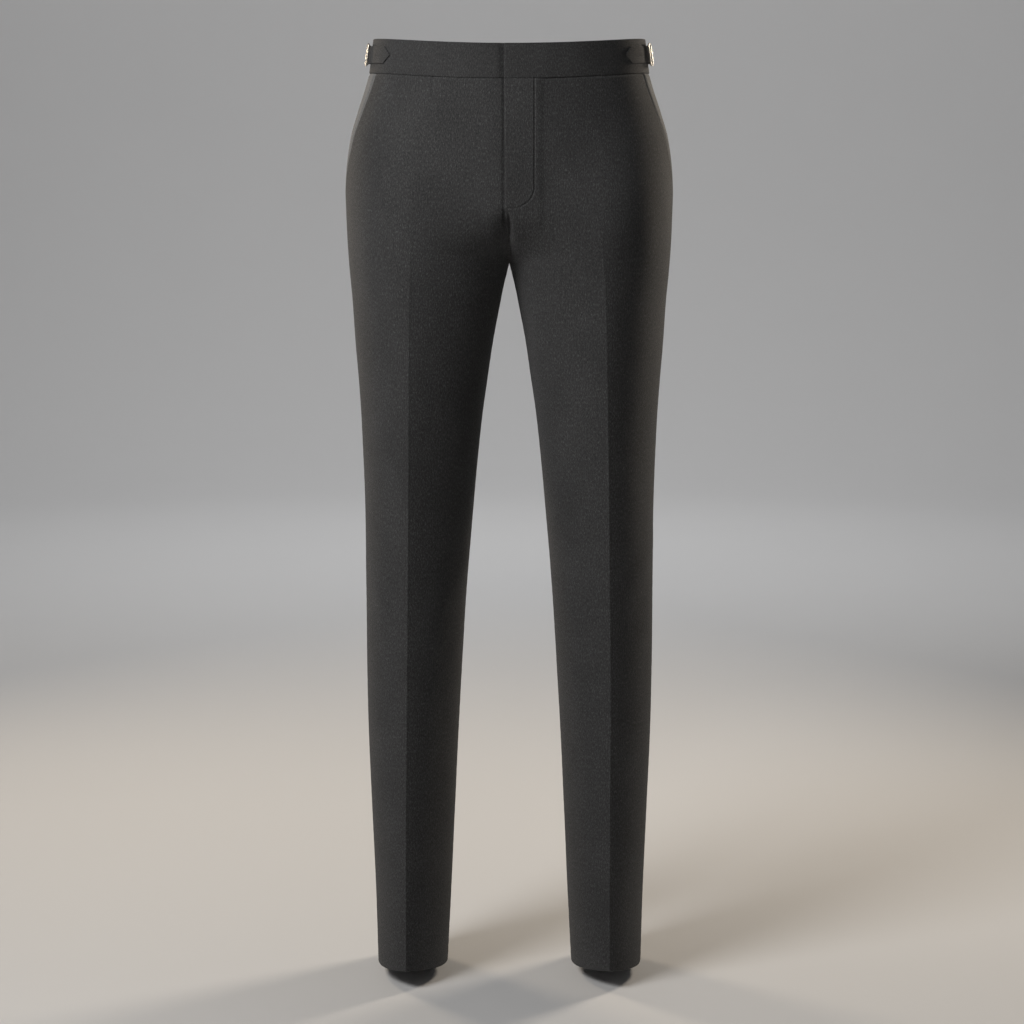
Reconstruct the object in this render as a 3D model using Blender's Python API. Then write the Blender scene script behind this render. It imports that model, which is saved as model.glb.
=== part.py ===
"""Flat-front dress trousers in charcoal wool, hollow and hanging straight as if worn.

The origin is the middle of the waist, at the waistband's mid-height at the side seams.
+X is the wearer's left, -Y the front and +Z up. Sizes are millimetres until a mesh is made.

Every panel lies on one surface of the body and legs, read by two numbers:
  row     0 at the waist seam, 1 at the crotch, 2 at the hem
  around  0 at the side seam, 1 at the crease, 2 at the centre seam or the inseam
"""

import math
from collections import namedtuple

import bmesh
import bpy
from mathutils import Vector

MM = 0.001

# Cloth and seams
CLOTH = 1.5
HEM_CLOTH = 2.4
SEAM_GAP = 0.3
SEAM_GROOVE = 0.6

# Heights
WAIST_SEAM_Z = -19.2
CROTCH_SIDE_Z = -220.0
CROTCH_Z = -230.0
CROTCH_Y = -15.0
HEM_Z = -1048.5
HEM_TURN_UP = 38.0

# Waistband
BAND_HEIGHT = 37.6
BAND_WALL = 2.6
BAND_EDGE_ROUND = 0.8
BAND_OVERLAP_RAISE = 0.8
BAND_UNDERLAP_SINK = 2.3
BAND_UNDERLAP_X = 30.0
BAND_FLAT_X = (34.0, 60.0)
BAND_DIP_X = (-19.0, -8.0)
BAND_COLUMNS = 32

# Fly
FLY_END_ROW = 0.66
FLY_CLOSE_ROW = 0.70
FLY_FLAT_ROW = 0.76
FLY_RAISE = 1.2
FLY_SINK = 0.8
FLY_RAISE_X = 31.0
FLY_FLAT_X = 39.0
UNDERLAP_X = 1.0
UNDERLAP_FLAT_X = -13.0
FACING_X = 29.0
FACING_TURN_Z = -140.0
FACING_BOTTOM_Z = -170.0
FACING_CLOTH = 1.1
SHIELD_X = (-16.0, 26.0)
SHIELD_END_ROW = 0.62
SHIELD_CLOTH = 1.4

# Slanted side pockets
POCKET_TOP_Y = 37.0
POCKET_END_ROW = 0.70
POCKET_GAPE = 1.0
POCKET_UNDER = 0.22
POCKET_DEPTH = 2.5
POCKET_DIVE = 0.12
POCKET_CLOTH = 1.2

# Side adjusters, measured along the band from the buckle's middle, with the front positive.
# The wearer's left buckle (side 1) is sewn on a little further forward than the right one (side -1).
BUCKLE_TO_SIDE_SEAM = {1: 16.0, -1: 10.0}
BUCKLE_HEIGHT = 25.4
BUCKLE_WIDTH = 15.6
BUCKLE_CORNER = 2.4
WIRE_RADIUS = 0.9
BAR_RADIUS = 0.8
FRAME_OUT = 5.1
BAR_OUT = 4.0
STRAP_WIDTH = 19.0
STRAP_CLOTH = 1.2
STRAP_POINT = 11.0
STRAP_OUT = 0.95
KEEPER_WIDTH = 12.0
KEEPER_CLOTH = 0.8
ADJUSTER_HEIGHT = 20.3

Half = namedtuple("Half", "name toward waist_lift fork_z fork_row hem_lift crease power depth")
FRONT = Half("front", -1, -9.6, -165.0, 0.65, 10.5, "front_x", "front_power", "front_y")
BACK = Half("back", 1, 2.4, -160.0, 0.60, -6.0, "back_x", "back_power", "back_y")
SIDES = {"left": 1, "right": -1}

# Outline: half-width at the side seams, and y at the front, the back and the side seam
Outline = namedtuple("Outline", "z side_x front_y back_y side_y")
OUTLINE = (
    Outline(-15, 155.4, -107.7, 108.0, 0.0),
    Outline(-37, 161.8, -110.2, 114.5, 1.0),
    Outline(-60, 169.6, -112.8, 121.5, 3.0),
    Outline(-92, 178.9, -116.2, 132.0, 6.0),
    Outline(-137, 184.4, -118.4, 144.0, 9.0),
    Outline(-190, 184.0, -116.8, 146.0, 10.0),
    Outline(-231, 182.0, -114.0, 138.0, 9.0),
    Outline(-272, 178.4, -111.5, 125.5, 7.0),
    Outline(-317, 175.4, -109.0, 114.0, 5.0),
    Outline(-363, 171.6, -106.0, 106.0, 3.0),
    Outline(-409, 168.7, -103.0, 100.5, 1.5),
    Outline(-500, 165.6, -95.5, 92.0, 0.0),
    Outline(-594, 165.1, -87.0, 84.0, -1.0),
    Outline(-688, 165.0, -83.0, 84.5, 0.0),
    Outline(-783, 163.5, -80.5, 87.0, 2.0),
    Outline(-879, 159.8, -78.5, 87.5, 3.5),
    Outline(-976, 156.5, -76.5, 86.0, 4.0),
    Outline(-1048, 154.6, -75.5, 85.0, 4.0),
)

# Inseam of each leg, below the crotch
Inseam = namedtuple("Inseam", "z inner_x inner_y")
INSEAM = (
    Inseam(-230, 0.0, -15.0),
    Inseam(-250, 5.1, -13.0),
    Inseam(-272, 9.7, -11.0),
    Inseam(-317, 18.2, -8.0),
    Inseam(-363, 25.1, -6.0),
    Inseam(-409, 31.5, -4.0),
    Inseam(-500, 40.5, -2.0),
    Inseam(-594, 48.5, -1.0),
    Inseam(-688, 54.5, 0.0),
    Inseam(-783, 59.7, 1.5),
    Inseam(-879, 64.4, 2.5),
    Inseam(-976, 69.1, 3.0),
    Inseam(-1048, 72.6, 3.0),
)

# Creases: x on each leg, and the power of the section there, where 2 is round and 1 is a sharp fold
Crease = namedtuple("Crease", "z front_x back_x inward_left front_power back_power")
CREASE = (
    Crease(-15, 92.0, 88.0, 0.0, 2.0, 2.0),
    Crease(-120, 101.0, 92.0, 2.0, 2.0, 2.0),
    Crease(-202, 106.0, 96.0, 5.0, 1.85, 2.0),
    Crease(-267, 109.0, 101.0, 4.0, 1.5, 2.0),
    Crease(-377, 110.6, 105.0, 2.5, 1.3, 1.6),
    Crease(-489, 112.0, 108.0, 1.5, 1.22, 1.3),
    Crease(-718, 115.6, 110.5, 1.5, 1.18, 1.2),
    Crease(-904, 118.0, 111.5, 3.5, 1.16, 1.16),
    Crease(-1048, 118.7, 112.0, 3.5, 1.15, 1.15),
)

# How each row turns into the centre seam or the inseam: below 1 the legs run on smoothly into each
# other, at 2 each is a round tube, and above 2 its inner side lies flat against the other leg's
Turn = namedtuple("Turn", "z power")
TURN = (
    Turn(0.0, 0.60),
    Turn(-0.66, 0.65),
    Turn(-0.80, 0.85),
    Turn(-0.88, 1.20),
    Turn(-0.94, 1.80),
    Turn(-1.00, 2.60),
    Turn(-1.06, 2.85),
    Turn(-1.20, 2.55),
    Turn(-1.40, 2.20),
    Turn(-1.60, 2.05),
    Turn(-2.00, 2.00),
)

# The line where the front closes, which lies on the wearer's right of the middle
Closing = namedtuple("Closing", "z x")
CLOSING = (
    Closing(0.0, -7.0),
    Closing(-0.33, -5.9),
    Closing(-0.66, -4.8),
    Closing(-0.72, -4.3),
    Closing(-0.80, 0.0),
    Closing(-2.0, 0.0),
)

# The largest folds, each a soft ridge (or a trough, where its depth is below 0) between two places
Fold = namedtuple("Fold", "side half around_1 z_1 around_2 z_2 width depth")
FOLDS = (
    Fold("left", FRONT, 0.15, -548, 0.75, -600, 16, 1.8),
    Fold("left", FRONT, 1.90, -585, 1.35, -640, 17, 1.5),
    Fold("right", FRONT, 0.20, -575, 0.70, -632, 17, 1.3),
    Fold("right", FRONT, 1.88, -560, 1.40, -622, 16, 1.6),
    Fold("left", BACK, 0.30, -290, 1.55, -262, 20, -1.8),
    Fold("right", BACK, 0.35, -300, 1.60, -268, 20, -1.6),
    Fold("left", BACK, 1.75, -560, 0.65, -592, 17, -1.8),
    Fold("right", BACK, 1.70, -548, 0.70, -585, 18, -1.6),
)

HIP_ROWS = (0, 0.015, 0.06, 0.13, 0.21, 0.29, 0.37, 0.45, 0.53, 0.60, 0.66, 0.68, 0.70, 0.76, 0.82, 0.87,
            0.91, 0.955, 1)
LEG_ROWS = (1.012, 1.03, 1.055, 1.085, 1.12, 1.16, 1.21, 1.27, 1.33, 1.39, 1.45, 1.51, 1.57, 1.63, 1.70, 1.77,
            1.84, 1.90)
OUTER_STEPS = 7
INNER_STEPS = 7
LEFT_FLY_COLUMNS = (84, 64, 50, FLY_FLAT_X, FLY_RAISE_X, 12)
RIGHT_FLY_COLUMNS = (84, 64, 46, 28, -UNDERLAP_FLAT_X, 7.5)

WOOL = ("charcoal wool", (0.058, 0.058, 0.060, 1), 0.88, 0.0)
NICKEL = ("antique nickel", (0.48, 0.45, 0.40, 1), 0.32, 1.0)


# --- Curves and tables -------------------------------------------------------------------------


def blend(start, end, share):
    return start + (end - start) * share


def ease(share):
    """0 to 1 with level ends."""
    share = min(max(share, 0.0), 1.0)
    return share * share * (3 - 2 * share)


def read(table, column, z):
    """A column of a table at z, on a smooth curve through the rows, whose z falls from row to row."""
    last = len(table) - 1
    z = min(max(z, table[last].z), table[0].z)
    low = next(index for index in range(1, last + 1) if table[index].z <= z)
    high = low - 1
    heights = [row.z for row in table]
    values = [getattr(row, column) for row in table]

    def slope(index):
        before, after = max(index - 1, 0), min(index + 1, last)
        return (values[after] - values[before]) / (heights[after] - heights[before])

    span = heights[low] - heights[high]
    t = (z - heights[high]) / span
    return (
        values[high] * (1 + 2 * t) * (1 - t) ** 2
        + values[low] * t * t * (3 - 2 * t)
        + span * slope(high) * t * (1 - t) ** 2
        + span * slope(low) * t * t * (t - 1)
    )


def solve(function, target, low, high):
    """Where a function that only rises or only falls between low and high meets the target."""
    rising = function(high) > function(low)
    for _ in range(40):
        middle = (low + high) / 2
        if (function(middle) < target) == rising:
            low = middle
        else:
            high = middle
    return (low + high) / 2


# --- The surface that the panels lie on ---------------------------------------------------------


def centre_line(half, row):
    """y and z where a hip row meets the plane between the legs: straight down, then round to the crotch."""
    top_z = WAIST_SEAM_Z + half.waist_lift
    if row <= half.fork_row:
        z = blend(top_z, half.fork_z, row / half.fork_row)
        return read(OUTLINE, half.depth, z), z
    turn = math.radians(90) * (row - half.fork_row) / (1 - half.fork_row)
    fork_y = read(OUTLINE, half.depth, half.fork_z)
    return blend(CROTCH_Y, fork_y, math.cos(turn)), blend(half.fork_z, CROTCH_Z, math.sin(turn))


def hip_angle(half, row, around):
    side_z = blend(WAIST_SEAM_Z, CROTCH_SIDE_Z, min(row, 1))
    crease_angle = math.acos(read(CREASE, half.crease, side_z) / read(OUTLINE, "side_x", side_z))
    if around <= 1:
        return crease_angle * around
    return blend(crease_angle, math.radians(90), around - 1)


def level(half, row, around):
    """The height of a place on a row, which dips or rises from the side seam to the centre."""
    hip_row = min(row, 1)
    side_z = blend(WAIST_SEAM_Z, CROTCH_SIDE_Z, hip_row)
    centre_z = centre_line(half, hip_row)[1]
    top_z = blend(side_z, centre_z, math.sin(hip_angle(half, hip_row, around)) ** 2)
    hem_z = HEM_Z + half.hem_lift * math.sin(math.radians(90) * around) ** 2
    return blend(top_z, hem_z, max(row - 1, 0))


def crease_x(side, half, z):
    inward = read(CREASE, "inward_left", z) if side > 0 and half is FRONT else 0
    return read(CREASE, half.crease, z) - inward


def leg_section(side, half, row, around, z):
    """x and y on a leg's section, made of two quarters of a superellipse that meet at the crease."""
    fold_x = crease_x(side, half, z)
    fold_y = read(OUTLINE, half.depth, z)
    power = read(CREASE, half.power, z)
    if around <= 1:
        angle = math.radians(90) * around
        end_x, end_y, end_power = read(OUTLINE, "side_x", z), read(OUTLINE, "side_y", z), 2
    else:
        angle = math.radians(90) * (2 - around)
        end_power = read(TURN, "power", -row)
        if row <= 1:
            end_x, end_y = 0, centre_line(half, row)[0]
        else:
            end_x, end_y = read(INSEAM, "inner_x", z), read(INSEAM, "inner_y", z)
    across = max(math.cos(angle), 0) ** (2 / power)
    forward = max(math.sin(angle), 0) ** (2 / end_power)
    return blend(fold_x, end_x, across), blend(end_y, fold_y, forward)


def hip_section(half, row, around, z):
    """x and y on the oval of the hips."""
    angle = hip_angle(half, row, around)
    side_y = read(OUTLINE, "side_y", z)
    centre_y = centre_line(half, min(row, 1))[0]
    return read(OUTLINE, "side_x", z) * math.cos(angle), blend(side_y, centre_y, math.sin(angle))


def place(side, half, row, around):
    """A point of the surface. Beyond the centre line, the surface runs on to the other side."""
    if around > 2:
        return place(-side, half, row, 4 - around)
    z = level(half, row, around)
    leg_share = ease((row - 0.15) / 0.65)
    leg_x, leg_y = leg_section(side, half, row, around, z)
    if leg_share < 1:
        hip_x, hip_y = hip_section(half, row, around, z)
        leg_x, leg_y = blend(hip_x, leg_x, leg_share), blend(hip_y, leg_y, leg_share)
    return Vector((side * leg_x, leg_y, z))


def outward(side, half, row, around):
    """The unit normal of the surface, level across each seam so that both panels' walls agree."""
    open_end = 4 if row < 0.81 else 2
    before, after = max(around - 0.05, 0), min(around + 0.05, open_end)
    upper, lower = max(row - 0.012, 0), min(row + 0.012, 2)
    across = place(side, half, row, after) - place(side, half, row, before)
    down = place(side, half, lower, around) - place(side, half, upper, around)
    normal = across.cross(down) * side * -half.toward
    if around == 0 or (around == 2 and row >= 1):
        normal.y = 0
    if around == 2 and normal.x * side > 0:
        normal.x = 0
    return normal.normalized()


def around_at(side, half, row, x):
    """The place on a hip row where the surface has this x."""
    return solve(lambda around: place(side, half, row, around).x, x, 0.3, 3.7)


def row_at(side, half, around, z):
    return solve(lambda row: place(side, half, row, around).z, z, 0, 2)


def fold_lines():
    """Each fold's two ends as points on the cloth."""
    for fold in FOLDS:
        side = SIDES[fold.side]
        start = place(side, fold.half, row_at(side, fold.half, fold.around_1, fold.z_1), fold.around_1)
        end = place(side, fold.half, row_at(side, fold.half, fold.around_2, fold.z_2), fold.around_2)
        yield fold, start, end


FOLD_LINES = list(fold_lines())


def fold_height(point):
    """How far the folds lift the cloth here, fading along each fold and away from it."""
    height = 0
    for fold, start, end in FOLD_LINES:
        run = end - start
        along = min(max((point - start).dot(run) / run.length_squared, 0), 1)
        distance = (point - start - run * along).length / fold.width
        height += fold.depth * math.exp(-distance * distance) * (0.35 + 0.65 * math.sin(math.pi * along))
    return height


def on_cloth(side, half, row, around, out):
    """A point this far outside the surface, and the same with the folds."""
    base = place(side, half, row, around)
    normal = outward(side, half, row, around)
    return base + normal * (fold_height(base) + out), normal


# --- Meshes ------------------------------------------------------------------------------------


def material(name, colour, roughness, metallic):
    made = bpy.data.materials.get(name)
    if made is None:
        made = bpy.data.materials.new(name)
        made.use_nodes = True
        shader = made.node_tree.nodes["Principled BSDF"]
        shader.inputs["Base Color"].default_value = colour
        shader.inputs["Roughness"].default_value = roughness
        shader.inputs["Metallic"].default_value = metallic
    return made


def add_object(name, points, faces, finish):
    """One closed body, given in millimetres."""
    mesh = bpy.data.meshes.new(name)
    mesh.from_pydata([Vector(point) * MM for point in points], [], faces)
    shape = bmesh.new()
    shape.from_mesh(mesh)
    bmesh.ops.recalc_face_normals(shape, faces=shape.faces)
    shape.to_mesh(mesh)
    shape.free()
    mesh.shade_smooth()
    mesh.set_sharp_from_angle(angle=math.radians(38))
    mesh.materials.append(material(*finish))
    item = bpy.data.objects.new(name, mesh)
    bpy.context.collection.objects.link(item)
    return item


def add_wall(name, outer, inner, finish=WOOL):
    """A sheet with two faces, from two grids of points of the same size, closed round its rim."""
    rows, columns = len(outer), len(outer[0])
    points = [point for grid in (outer, inner) for line in grid for point in line]
    inside = rows * columns

    def number(row, column):
        return row * columns + column

    faces = []
    for row in range(rows - 1):
        for column in range(columns - 1):
            cell = [number(row, column), number(row, column + 1)]
            cell += [number(row + 1, column + 1), number(row + 1, column)]
            faces.append(cell)
            faces.append([corner + inside for corner in reversed(cell)])
    rim = [number(0, column) for column in range(columns)]
    rim += [number(row, columns - 1) for row in range(1, rows)]
    rim += [number(rows - 1, column) for column in range(columns - 2, -1, -1)]
    rim += [number(row, 0) for row in range(rows - 2, 0, -1)]
    for here, after in zip(rim, rim[1:] + rim[:1]):
        faces.append([after, here, here + inside, after + inside])
    return add_object(name, points, faces, finish)


def add_loft(name, sections, finish, closed=False):
    """A body through sections of the same number of points, capped at its ends or joined to a ring."""
    size = len(sections[0])
    points = [point for section in sections for point in section]
    faces = []
    for here in range(len(sections) if closed else len(sections) - 1):
        after = (here + 1) % len(sections)
        for corner in range(size):
            across = (corner + 1) % size
            faces.append([here * size + corner, here * size + across])
            faces[-1] += [after * size + across, after * size + corner]
    if not closed:
        faces.append(list(range(size)))
        faces.append([(len(sections) - 1) * size + corner for corner in range(size)])
    return add_object(name, points, faces, finish)


# --- Leg panels --------------------------------------------------------------------------------


def panel_rows():
    turn_up_row = 2 - HEM_TURN_UP / (CROTCH_SIDE_Z - HEM_Z)
    return HIP_ROWS + LEG_ROWS + (turn_up_row - 0.0012, turn_up_row + 0.0012, 2)


def cloth_at(row):
    return HEM_CLOTH if row > 2 - HEM_TURN_UP / (CROTCH_SIDE_Z - HEM_Z) else CLOTH


def groove(row):
    """The dip that the waist seam pulls into the cloth just under the band."""
    return -SEAM_GROOVE * (1 - ease(row / 0.015))


def mouth_around(side, row):
    """Where the slanted pocket mouth cuts the row, or the side seam below the pocket."""
    if row >= POCKET_END_ROW:
        return 0
    forward = POCKET_TOP_Y * (1 - (row / POCKET_END_ROW) ** 2) ** 0.7
    z = level(FRONT, row, 0)
    side_y, front_y = read(OUTLINE, "side_y", z), read(OUTLINE, "front_y", z)
    angle = math.asin(forward / (side_y - front_y))
    return solve(lambda around: hip_angle(FRONT, row, around), angle, 0, 1)


def fly_share(row):
    """1 where the fly overlaps, fading to 0 below it."""
    return 1 - ease((row - FLY_CLOSE_ROW) / (FLY_FLAT_ROW - FLY_CLOSE_ROW))


def closing_x(side, row):
    """The x of a front panel's centre edge: the left one laps over the right one down to the fly's end."""
    x = read(CLOSING, "x", -row)
    if row > FLY_END_ROW:
        return x + side * SEAM_GAP / 2
    return x if side > 0 else UNDERLAP_X


def front_lift(side, row, around, x):
    """How far a front panel stands out: raised by the fly's layers, sunk where it runs under them."""
    if side > 0:
        fly = FLY_RAISE * (1 - ease((x - FLY_RAISE_X) / (FLY_FLAT_X - FLY_RAISE_X)))
    else:
        fly = -FLY_SINK * ease((x - UNDERLAP_FLAT_X) / 5.0)
    mouth = mouth_around(side, row)
    gape = 0
    if row < POCKET_END_ROW:
        gape = POCKET_GAPE * math.sin(math.pi * row / POCKET_END_ROW) * (1 - ease((around - mouth) / 0.3))
    return fly * fly_share(row) + gape + groove(row)


def inner_columns(side, half, row):
    """The places from the crease to the centre seam or inseam."""
    plain = [1 + step / INNER_STEPS for step in range(1, INNER_STEPS + 1)]
    if half is BACK or row > 0.84:
        return plain
    edge = closing_x(side, row)
    marks = LEFT_FLY_COLUMNS if side > 0 else RIGHT_FLY_COLUMNS
    by_fly = [around_at(side, half, row, side * mark) for mark in marks]
    by_fly.append(around_at(side, half, row, edge))
    share = ease((row - FLY_CLOSE_ROW) / (0.84 - FLY_CLOSE_ROW))
    spread = [blend(fly, even, share) for fly, even in zip(by_fly, plain)]
    spread[-1] = by_fly[-1]
    return spread


def add_panel(side_name, half):
    side = SIDES[side_name]
    outer, inner = [], []
    for row in panel_rows():
        first = mouth_around(side, row) if half is FRONT else 0
        columns = [blend(first, 1, step / OUTER_STEPS) for step in range(OUTER_STEPS + 1)]
        columns += inner_columns(side, half, row)
        outer_line, inner_line = [], []
        for around in columns:
            x = place(side, half, row, around).x
            lift = front_lift(side, row, around, x) if half is FRONT else groove(row)
            point, normal = on_cloth(side, half, row, around, lift)
            nudge = Vector((0, 0, -SEAM_GAP if row == 0 else 0))
            if around == 0 or (around == 2 and row >= 1):
                nudge.y = half.toward * SEAM_GAP / 2
            if around == 2:
                point.x = side * max(side * point.x, SEAM_GAP / 2)
            outer_line.append(point + nudge)
            inner_line.append(point + nudge - normal * cloth_at(row))
        outer.append(outer_line)
        inner.append(inner_line)
    return add_wall(f"{half.name}_{side_name}", outer, inner)


# --- Fly and pockets ---------------------------------------------------------------------------


def add_patch(name, side, rows, columns_at, out_at, cloth):
    """A piece under the front, made from the front's own surface and moved in."""
    outer, inner = [], []
    for row in rows:
        outer_line, inner_line = [], []
        for around in columns_at(row):
            point, normal = on_cloth(side, FRONT, row, around, out_at(row, around))
            nudge = Vector((0, -SEAM_GAP / 2 if around == 0 else 0, -SEAM_GAP if row == 0 else 0))
            outer_line.append(point + nudge)
            inner_line.append(point + nudge - normal * cloth)
        outer.append(outer_line)
        inner.append(inner_line)
    return add_wall(name, outer, inner)


def add_fly_facing():
    """The facing that the J-shaped stitching holds to the left front, beside the right front's edge."""
    def columns_at(row):
        z = centre_line(FRONT, row)[1]
        drop = min(max((FACING_TURN_Z - z) / (FACING_TURN_Z - FACING_BOTTOM_Z), 0), 1)
        start = UNDERLAP_X + SEAM_GAP
        end = blend(CLOSING[2].x, FACING_X, math.sqrt(1 - drop * drop))
        return [around_at(1, FRONT, row, blend(end, start, step / 5)) for step in range(6)]

    rows = (0, 0.06, 0.16, 0.26, 0.36, 0.46, 0.54, 0.58, 0.61, 0.635, 0.65)
    return add_patch("fly_facing", 1, rows, columns_at, lambda row, around: groove(row) - 0.9, FACING_CLOTH)


def add_fly_shield():
    """The underlap sewn to the right front, behind the closed fly."""
    def columns_at(row):
        return [around_at(1, FRONT, row, blend(SHIELD_X[1], SHIELD_X[0], step / 5)) for step in range(6)]

    rows = [SHIELD_END_ROW * step / 8 for step in range(9)]
    depth = FLY_SINK + CLOTH + 0.6
    return add_patch("fly_shield", 1, rows, columns_at, lambda row, around: groove(row) - depth, SHIELD_CLOTH)


def add_pocket_facing(side_name):
    """The hip facing, flush at the side seam and running under the pocket mouth."""
    side = SIDES[side_name]

    def columns_at(row):
        mouth = mouth_around(side, row)
        if mouth == 0:
            return [POCKET_UNDER * step / 7 for step in range(8)]
        shown = [mouth * step / 4 for step in range(5)]
        return shown + [mouth + POCKET_UNDER * share for share in (0.35, 0.7, 1)]

    def out_at(row, around):
        dive = ease((around - mouth_around(side, row) + POCKET_DIVE) / POCKET_DIVE)
        return groove(row) - POCKET_DEPTH * dive

    rows = [row for row in HIP_ROWS if row <= POCKET_END_ROW] + [POCKET_END_ROW + 0.05]
    return add_patch(f"pocket_facing_{side_name}", side, rows, columns_at, out_at, POCKET_CLOTH)


# --- Waistband ---------------------------------------------------------------------------------

# The band's outer face at its lower and upper edge
Rim = namedtuple("Rim", "side_x front_y back_y")
BAND_BOTTOM = Rim(157.0, -109.2, 110.2)
BAND_TOP = Rim(152.2, -107.4, 106.4)


def band_place(side, angle, height, out):
    """A point on or off the band: angle 0 is the side seam, 90 degrees the centre front, -90 the back."""
    share = height / BAND_HEIGHT
    half = FRONT if angle > 0 else BACK
    side_x = blend(BAND_BOTTOM.side_x, BAND_TOP.side_x, share)
    depth = blend(getattr(BAND_BOTTOM, half.depth), getattr(BAND_TOP, half.depth), share)
    x, y = side_x * math.cos(angle), depth * math.sin(abs(angle))
    normal = Vector((x / side_x ** 2, y / depth ** 2, 0)).normalized()
    z = WAIST_SEAM_Z + half.waist_lift * math.sin(angle) ** 2 + height
    point = Vector((x, y, z)) + normal * out
    return Vector((side * point.x, point.y, point.z))


def band_angle_at_x(x):
    """The angle past which the band's face has this x, counted towards the wearer's own side."""
    return math.acos(x / BAND_BOTTOM.side_x)


def band_section():
    """The band's section, as height above the seam and distance out of its face."""
    inner = -BAND_WALL
    return (
        (0.0, -BAND_EDGE_ROUND), (BAND_EDGE_ROUND, -0.15), (12.0, 0.0), (26.0, 0.0),
        (BAND_HEIGHT - 1.0, -0.15), (BAND_HEIGHT, -BAND_EDGE_ROUND),
        (BAND_HEIGHT, inner + BAND_EDGE_ROUND), (BAND_HEIGHT - 1.0, inner), (BAND_HEIGHT / 2, inner), (0.4, inner),
    )


def band_lift(side, angle):
    """The left end stands out over the right one, which dips behind it."""
    x = side * BAND_BOTTOM.side_x * math.cos(angle)
    if angle < 0:
        return 0
    if side > 0:
        return BAND_OVERLAP_RAISE * (1 - ease((x - BAND_FLAT_X[0]) / (BAND_FLAT_X[1] - BAND_FLAT_X[0])))
    return -BAND_UNDERLAP_SINK * ease((x - BAND_DIP_X[0]) / (BAND_DIP_X[1] - BAND_DIP_X[0]))


def add_waistband(side_name):
    side = SIDES[side_name]
    back_end = -band_angle_at_x(SEAM_GAP / 2)
    front_end = band_angle_at_x(CLOSING[0].x) if side > 0 else band_angle_at_x(-BAND_UNDERLAP_X)
    bend_start = band_angle_at_x(BAND_FLAT_X[1]) if side > 0 else band_angle_at_x(-BAND_DIP_X[0])
    angles = [blend(back_end, bend_start, step / BAND_COLUMNS) for step in range(BAND_COLUMNS)]
    steps = 8 if side > 0 else 9
    angles += [blend(bend_start, front_end, step / steps) for step in range(steps + 1)]
    sections = []
    for angle in angles:
        lift = band_lift(side, angle)
        sections.append([band_place(side, angle, height, out + lift) for height, out in band_section()])
    return add_loft(f"waistband_{side_name}", sections, WOOL)


# --- Side adjusters ----------------------------------------------------------------------------


def band_angle_at(distance):
    """The band's angle at a distance from the side seam along its face, with the front positive."""
    step = 0.5 if distance > 0 else -0.5
    angle, gone = 0.0, 0.0
    while abs(gone) < abs(distance) - abs(step) / 2:
        depth = BAND_BOTTOM.front_y if angle > 0 else BAND_BOTTOM.back_y
        angle += step / math.hypot(BAND_BOTTOM.side_x * math.sin(angle), depth * math.cos(angle))
        gone += step
    return angle


def at_buckle(side, along, up, out):
    """A point beside the buckle: along the band to the front, up the band, and out from its face."""
    distance = along + BUCKLE_TO_SIDE_SEAM[side]
    whole = round(distance)
    angle = band_angle_at(whole)
    rest = distance - whole
    here = band_place(side, angle, ADJUSTER_HEIGHT + up, out)
    after = band_place(side, angle + 0.01, ADJUSTER_HEIGHT + up, out)
    return here + (after - here).normalized() * rest


def strap_path():
    """The strap's middle line from its sewn rear end to its point: under, over and under the buckle's bars."""
    bar = BUCKLE_WIDTH / 2 - WIRE_RADIUS
    under = FRAME_OUT - WIRE_RADIUS - SEAM_GAP - STRAP_CLOTH / 2 - 0.15
    over = BAR_OUT + BAR_RADIUS + 2 * SEAM_GAP + KEEPER_CLOTH + STRAP_CLOTH / 2 + 0.1
    rise = [(0, over), (1.6, over - 0.3), (bar / 2, blend(over, under, 0.42)), (bar, under),
            (bar + 3, blend(under, STRAP_OUT, 0.55)), (bar + 7, STRAP_OUT)]
    weave = [(-along, out) for along, out in reversed(rise)] + rise[1:]
    rear_end = [(along, STRAP_OUT) for along in (-48, -40, -32, -23)]
    front_end = [(along, STRAP_OUT) for along in (20, 27, 35.5, 44, 49.5, 55)]
    return rear_end + weave + front_end


def add_strip(name, side, path, width_at, cloth):
    """A flat strip that follows a path of distances along and out, with its width up the band."""
    outer, inner = [], []
    for index, (along, out) in enumerate(path):
        before, after = path[max(index - 1, 0)], path[min(index + 1, len(path) - 1)]
        run = math.hypot(after[0] - before[0], after[1] - before[1])
        lean_along, lean_out = -(after[1] - before[1]) / run, (after[0] - before[0]) / run
        half_width = width_at(along) / 2
        lines = ([], [])
        for line, face in zip(lines, (cloth / 2, -cloth / 2)):
            for up in (-1, -0.33, 0.33, 1):
                line.append(at_buckle(side, along + lean_along * face, up * half_width,
                                      out + lean_out * face))
        outer.append(lines[0])
        inner.append(lines[1])
    return add_wall(name, outer, inner)


def add_strap(side_name):
    path = strap_path()
    tip = path[-1][0]

    def width_at(along):
        return STRAP_WIDTH * min(1, max((tip - along) / STRAP_POINT, 0.03))

    return add_strip(f"adjuster_strap_{side_name}", SIDES[side_name], path, width_at, STRAP_CLOTH)


def add_keeper(side_name):
    """The short loop that holds the buckle's middle bar to the band, under the strap."""
    radius = BAR_RADIUS + SEAM_GAP + KEEPER_CLOTH / 2
    path = [(-radius, SEAM_GAP), (-radius, BAR_OUT / 2)]
    for step in range(9):
        turn = math.pi * step / 8
        path.append((-radius * math.cos(turn), BAR_OUT + radius * math.sin(turn)))
    path += [(radius, BAR_OUT / 2), (radius, SEAM_GAP)]
    return add_strip(f"adjuster_keeper_{side_name}", SIDES[side_name], path, lambda along: KEEPER_WIDTH,
                     KEEPER_CLOTH)


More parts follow.
